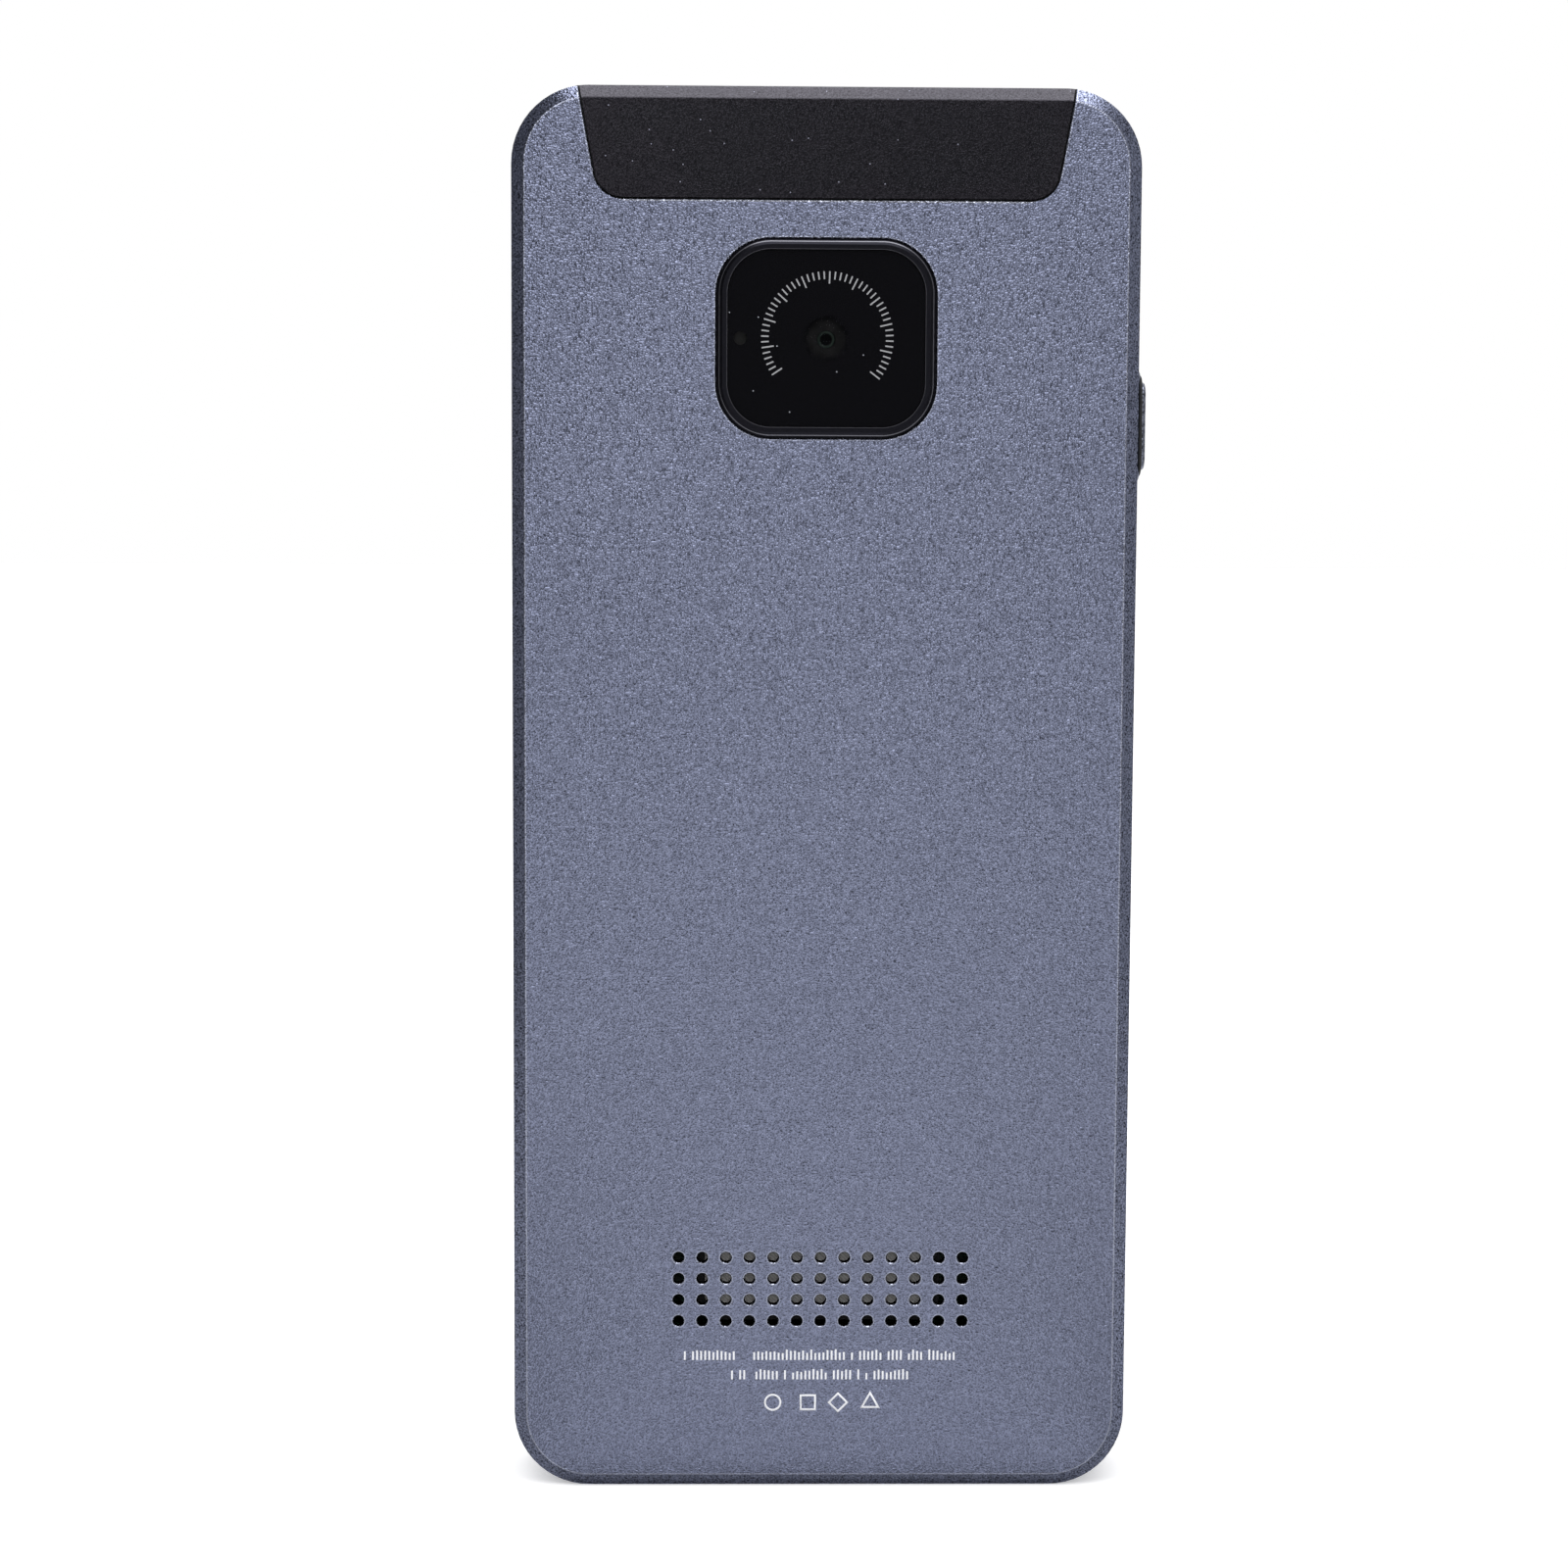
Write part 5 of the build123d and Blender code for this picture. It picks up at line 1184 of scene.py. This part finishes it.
first_pad = tongue_middle.x - (pad_count - 1) / 2 * pad_pitch
for name, side in (("back", -1), ("front", 1)):
    grow(
        "contact_pads_" + name, bar_tree,
        {
            "Count": pad_count,
            "First Place": Vector((first_pad, tongue_middle.y + side * tongue_half, pad_foot)),
            "Step": Vector((pad_pitch, 0, 0)),
            "Size": pad_size,
            "Shortest": 1.0,
            "Gap Share": 0.0,
            "Seed": 0,
            "Material": finishes["spring_brass"],
        },
    )
print("the tongue is", round((tongue_high.y - tongue_low.y) / MM, 2), "mm thick with its base")

# %% [markdown]
# The four outlines in the last row are one tree too. A circle curve with few points is a
# square, a diamond or a triangle, and with many points a ring. A flat bar swept along it
# gives the line of ink. At a corner the sweep pinches its bar, so the wanted line width is
# divided by the cosine of half the angle between two corners.

# %% Plain outlines
def outline():
    """A regular polygon or ring of ink that faces Y."""
    tree, given = new_tree(
        "outline",
        {
            "Centre": "Vector", "Corners": "Int", "Radius": "Float",
            "Turn": "Vector", "Line": "Float", "Depth": "Float",
        },
    )
    circle = add(
        tree, "GeometryNodeCurvePrimitiveCircle",
        {"Resolution": given["Corners"], "Radius": given["Radius"]},
    )
    section = add(
        tree, "GeometryNodeCurvePrimitiveQuadrilateral", {"Width": given["Line"], "Height": given["Depth"]}
    )
    swept = add(tree, "GeometryNodeCurveToMesh", {"Curve": circle, "Profile Curve": section})
    turned = add(tree, "GeometryNodeTransform", {"Geometry": swept, "Rotation": given["Turn"]})
    placed = add(tree, "GeometryNodeTransform", {"Geometry": turned, "Translation": given["Centre"]})
    return end_tree(tree, placed, given)


outline_tree = outline()
outline_height, outline_ink_line = 8.05 * MM, 0.18 * MM
outlines = {  # corners, radius, turn in degrees and place from left to right in mm
    "ring": (32, 0.72, 0, -4.39),
    "square": (4, 0.95, 45, -1.11),
    "diamond": (4, 0.85, 0, 1.7),
    "triangle": (3, 0.9, 90, 4.7),
}
for name, (corners, radius, turn, right) in outlines.items():
    grow(
        "outline_" + name, outline_tree,
        {
            "Centre": Vector((right * MM, cover_face, outline_height)),
            "Corners": corners,
            "Radius": radius * MM,
            "Turn": Vector((math.pi / 2, math.radians(-turn), 0)),
            "Line": outline_ink_line / math.cos(math.pi / corners),
            "Depth": ink_height,
            "Material": fine_ink,
        },
    )

# %% [markdown]
# Between the side key and its collar sits a thin lip of black rubber. It stands for the shade
# in the gap there, as painted shade. It is a round cord bent into a rounded rectangle. A tree
# says that in few steps: a rectangle, its corners filleted, a circle swept along it and a turn
# onto the side of the case.

# %% Dark lip round the side key, as painted shade
def rounded_cord():
    """A closed round cord along a rounded rectangle that faces X."""
    tree, given = new_tree(
        "rounded_cord",
        {
            "Centre": "Vector", "Breadth": "Float", "Length": "Float",
            "Corner": "Float", "Cord Radius": "Float",
        },
    )
    path = add(
        tree, "GeometryNodeCurvePrimitiveQuadrilateral",
        {"Width": given["Length"], "Height": given["Breadth"]},
    )
    bent = add(
        tree, "GeometryNodeFilletCurve",
        {"Curve": path, "Radius": given["Corner"], "Count": 6, "Limit Radius": True},
        mode="POLY",
    )
    section = add(
        tree, "GeometryNodeCurvePrimitiveCircle", {"Resolution": 10, "Radius": given["Cord Radius"]}
    )
    cord = add(tree, "GeometryNodeCurveToMesh", {"Curve": bent, "Profile Curve": section})
    onto_side = (0.0, math.pi / 2, 0.0)
    placed = add(
        tree, "GeometryNodeTransform",
        {"Geometry": cord, "Rotation": onto_side, "Translation": given["Centre"]},
    )
    return end_tree(tree, placed, given)


side_key_low, side_key_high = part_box("side_key")
lip_centre = (side_key_low + side_key_high) / 2
lip_centre.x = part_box("side_key_collar")[1].x - 0.06 * MM
# a dark cord that stands for the shade in the gap between key and collar
grow(
    "side_key_shade_lip", rounded_cord(),
    {
        "Centre": lip_centre,
        "Breadth": 4.1 * MM,
        "Length": 9.0 * MM,
        "Corner": 1.4 * MM,
        "Cord Radius": 0.18 * MM,
        "Material": finishes["silicone"],
    },
)

# %% [markdown]
# Two kinds of part fill openings. A bead of black sealant closes the gap between the antenna
# window and the metal, just under its surface, so that no light shines through the gap at
# the top end. And a disc of fine black cloth lies in each microphone hole, which keeps dust
# out and lets sound in. Neither repeats enough to want a tree, so both are short mesh code:
# the bead is a rectangular section carried along the window's outline, and a disc is a
# closed cylinder.

# %% Sealing bead and microphone cloth
corner_steps = 8
corner_x = low_half - window_corner * (1 - math.sin(lean)) / math.cos(lean)
corner_z = window_foot + window_corner
gap_middle, bead_half = -0.075 * MM, 0.13 * MM
bead_back, bead_front, bead_top = -4.95 * MM, -4.35 * MM, cad_box[1].z - 0.05 * MM


def bead_line(offset):
    """The window opening's outline moved outwards by offset, from its right top to its left top."""
    radius = window_corner + offset
    angles = [-lean - (math.pi / 2 - lean) * step / corner_steps for step in range(corner_steps + 1)]
    arc = [(corner_x + radius * math.cos(angle), corner_z + radius * math.sin(angle)) for angle in angles]
    rise = bead_top - arc[0][1]
    right = [(arc[0][0] + rise * math.tan(lean), bead_top), *arc]
    return right + [(-x, z) for x, z in reversed(right)]


def closed_mesh(name, shape, material):
    """A mesh from a bmesh, with its faces turned outwards."""
    bmesh.ops.recalc_face_normals(shape, faces=shape.faces)
    mesh = bpy.data.meshes.new(name)
    shape.to_mesh(mesh)
    shape.free()
    mesh.materials.append(material)
    return mesh


def sealing_bead():
    """A closed bar with a rectangular section along the gap."""
    inner, outer = bead_line(gap_middle - bead_half), bead_line(gap_middle + bead_half)
    edges = ((inner, bead_back), (outer, bead_back), (outer, bead_front), (inner, bead_front))
    shape = bmesh.new()
    rows = [[shape.verts.new((x, y, z)) for x, z in line] for line, y in edges]
    for row, next_row in zip(rows, rows[1:] + rows[:1]):
        for i in range(len(row) - 1):
            shape.faces.new((row[i], row[i + 1], next_row[i + 1], next_row[i]))
    shape.faces.new([row[0] for row in rows])
    shape.faces.new([row[-1] for row in rows])
    return shape


def cloth_disc(centre, radius, turn):
    """A thin round piece of cloth; turn is about X, so a quarter makes it face Y."""
    shape = bmesh.new()
    place = Matrix.Translation(centre) @ Matrix.Rotation(turn, 4, "X")
    bmesh.ops.create_cone(
        shape, cap_ends=True, segments=32, radius1=radius, radius2=radius, depth=0.06 * MM, matrix=place
    )
    return shape


cloth = plain_finish(
    "woven_acoustic_cloth", ("#060607", "#0C0C0E"), (0.7, 0.85), threads(0.12, "DIAGONAL"), 0.01
)
keep_piece("sealing_bead", closed_mesh("sealing_bead", sealing_bead(), finishes["silicone"]))
rear_hole = Vector((-7.82 * MM, glass_high.y + 0.05 * MM, camera_middle.z))
low_hole = Vector((12.0 * MM, tongue_middle.y, 0.6 * MM))
cloths = {
    "rear": (rear_hole, 0.9 * MM, math.pi / 2),
    "bottom_left": (Vector((-low_hole.x, low_hole.y, low_hole.z)), 0.52 * MM, 0.0),
    "bottom_right": (low_hole, 0.52 * MM, 0.0),
}
for name, (centre, radius, turn) in cloths.items():
    piece_name = "microphone_cloth_" + name
    keep_piece(piece_name, closed_mesh(piece_name, cloth_disc(centre, radius, turn), cloth))

# %% [markdown]
# The record that comes with the frame says which kind of finish each solid piece has. So this
# step is short: every solid drops the plain material it was loaded with and takes its own.

# %% Give every slot its finish
for row in frame["record"]["subparts"]:
    node = frame["nodes"][row["node"]]
    node.data.materials.clear()
    node.data.materials.append(finishes[row["material_slot"]])
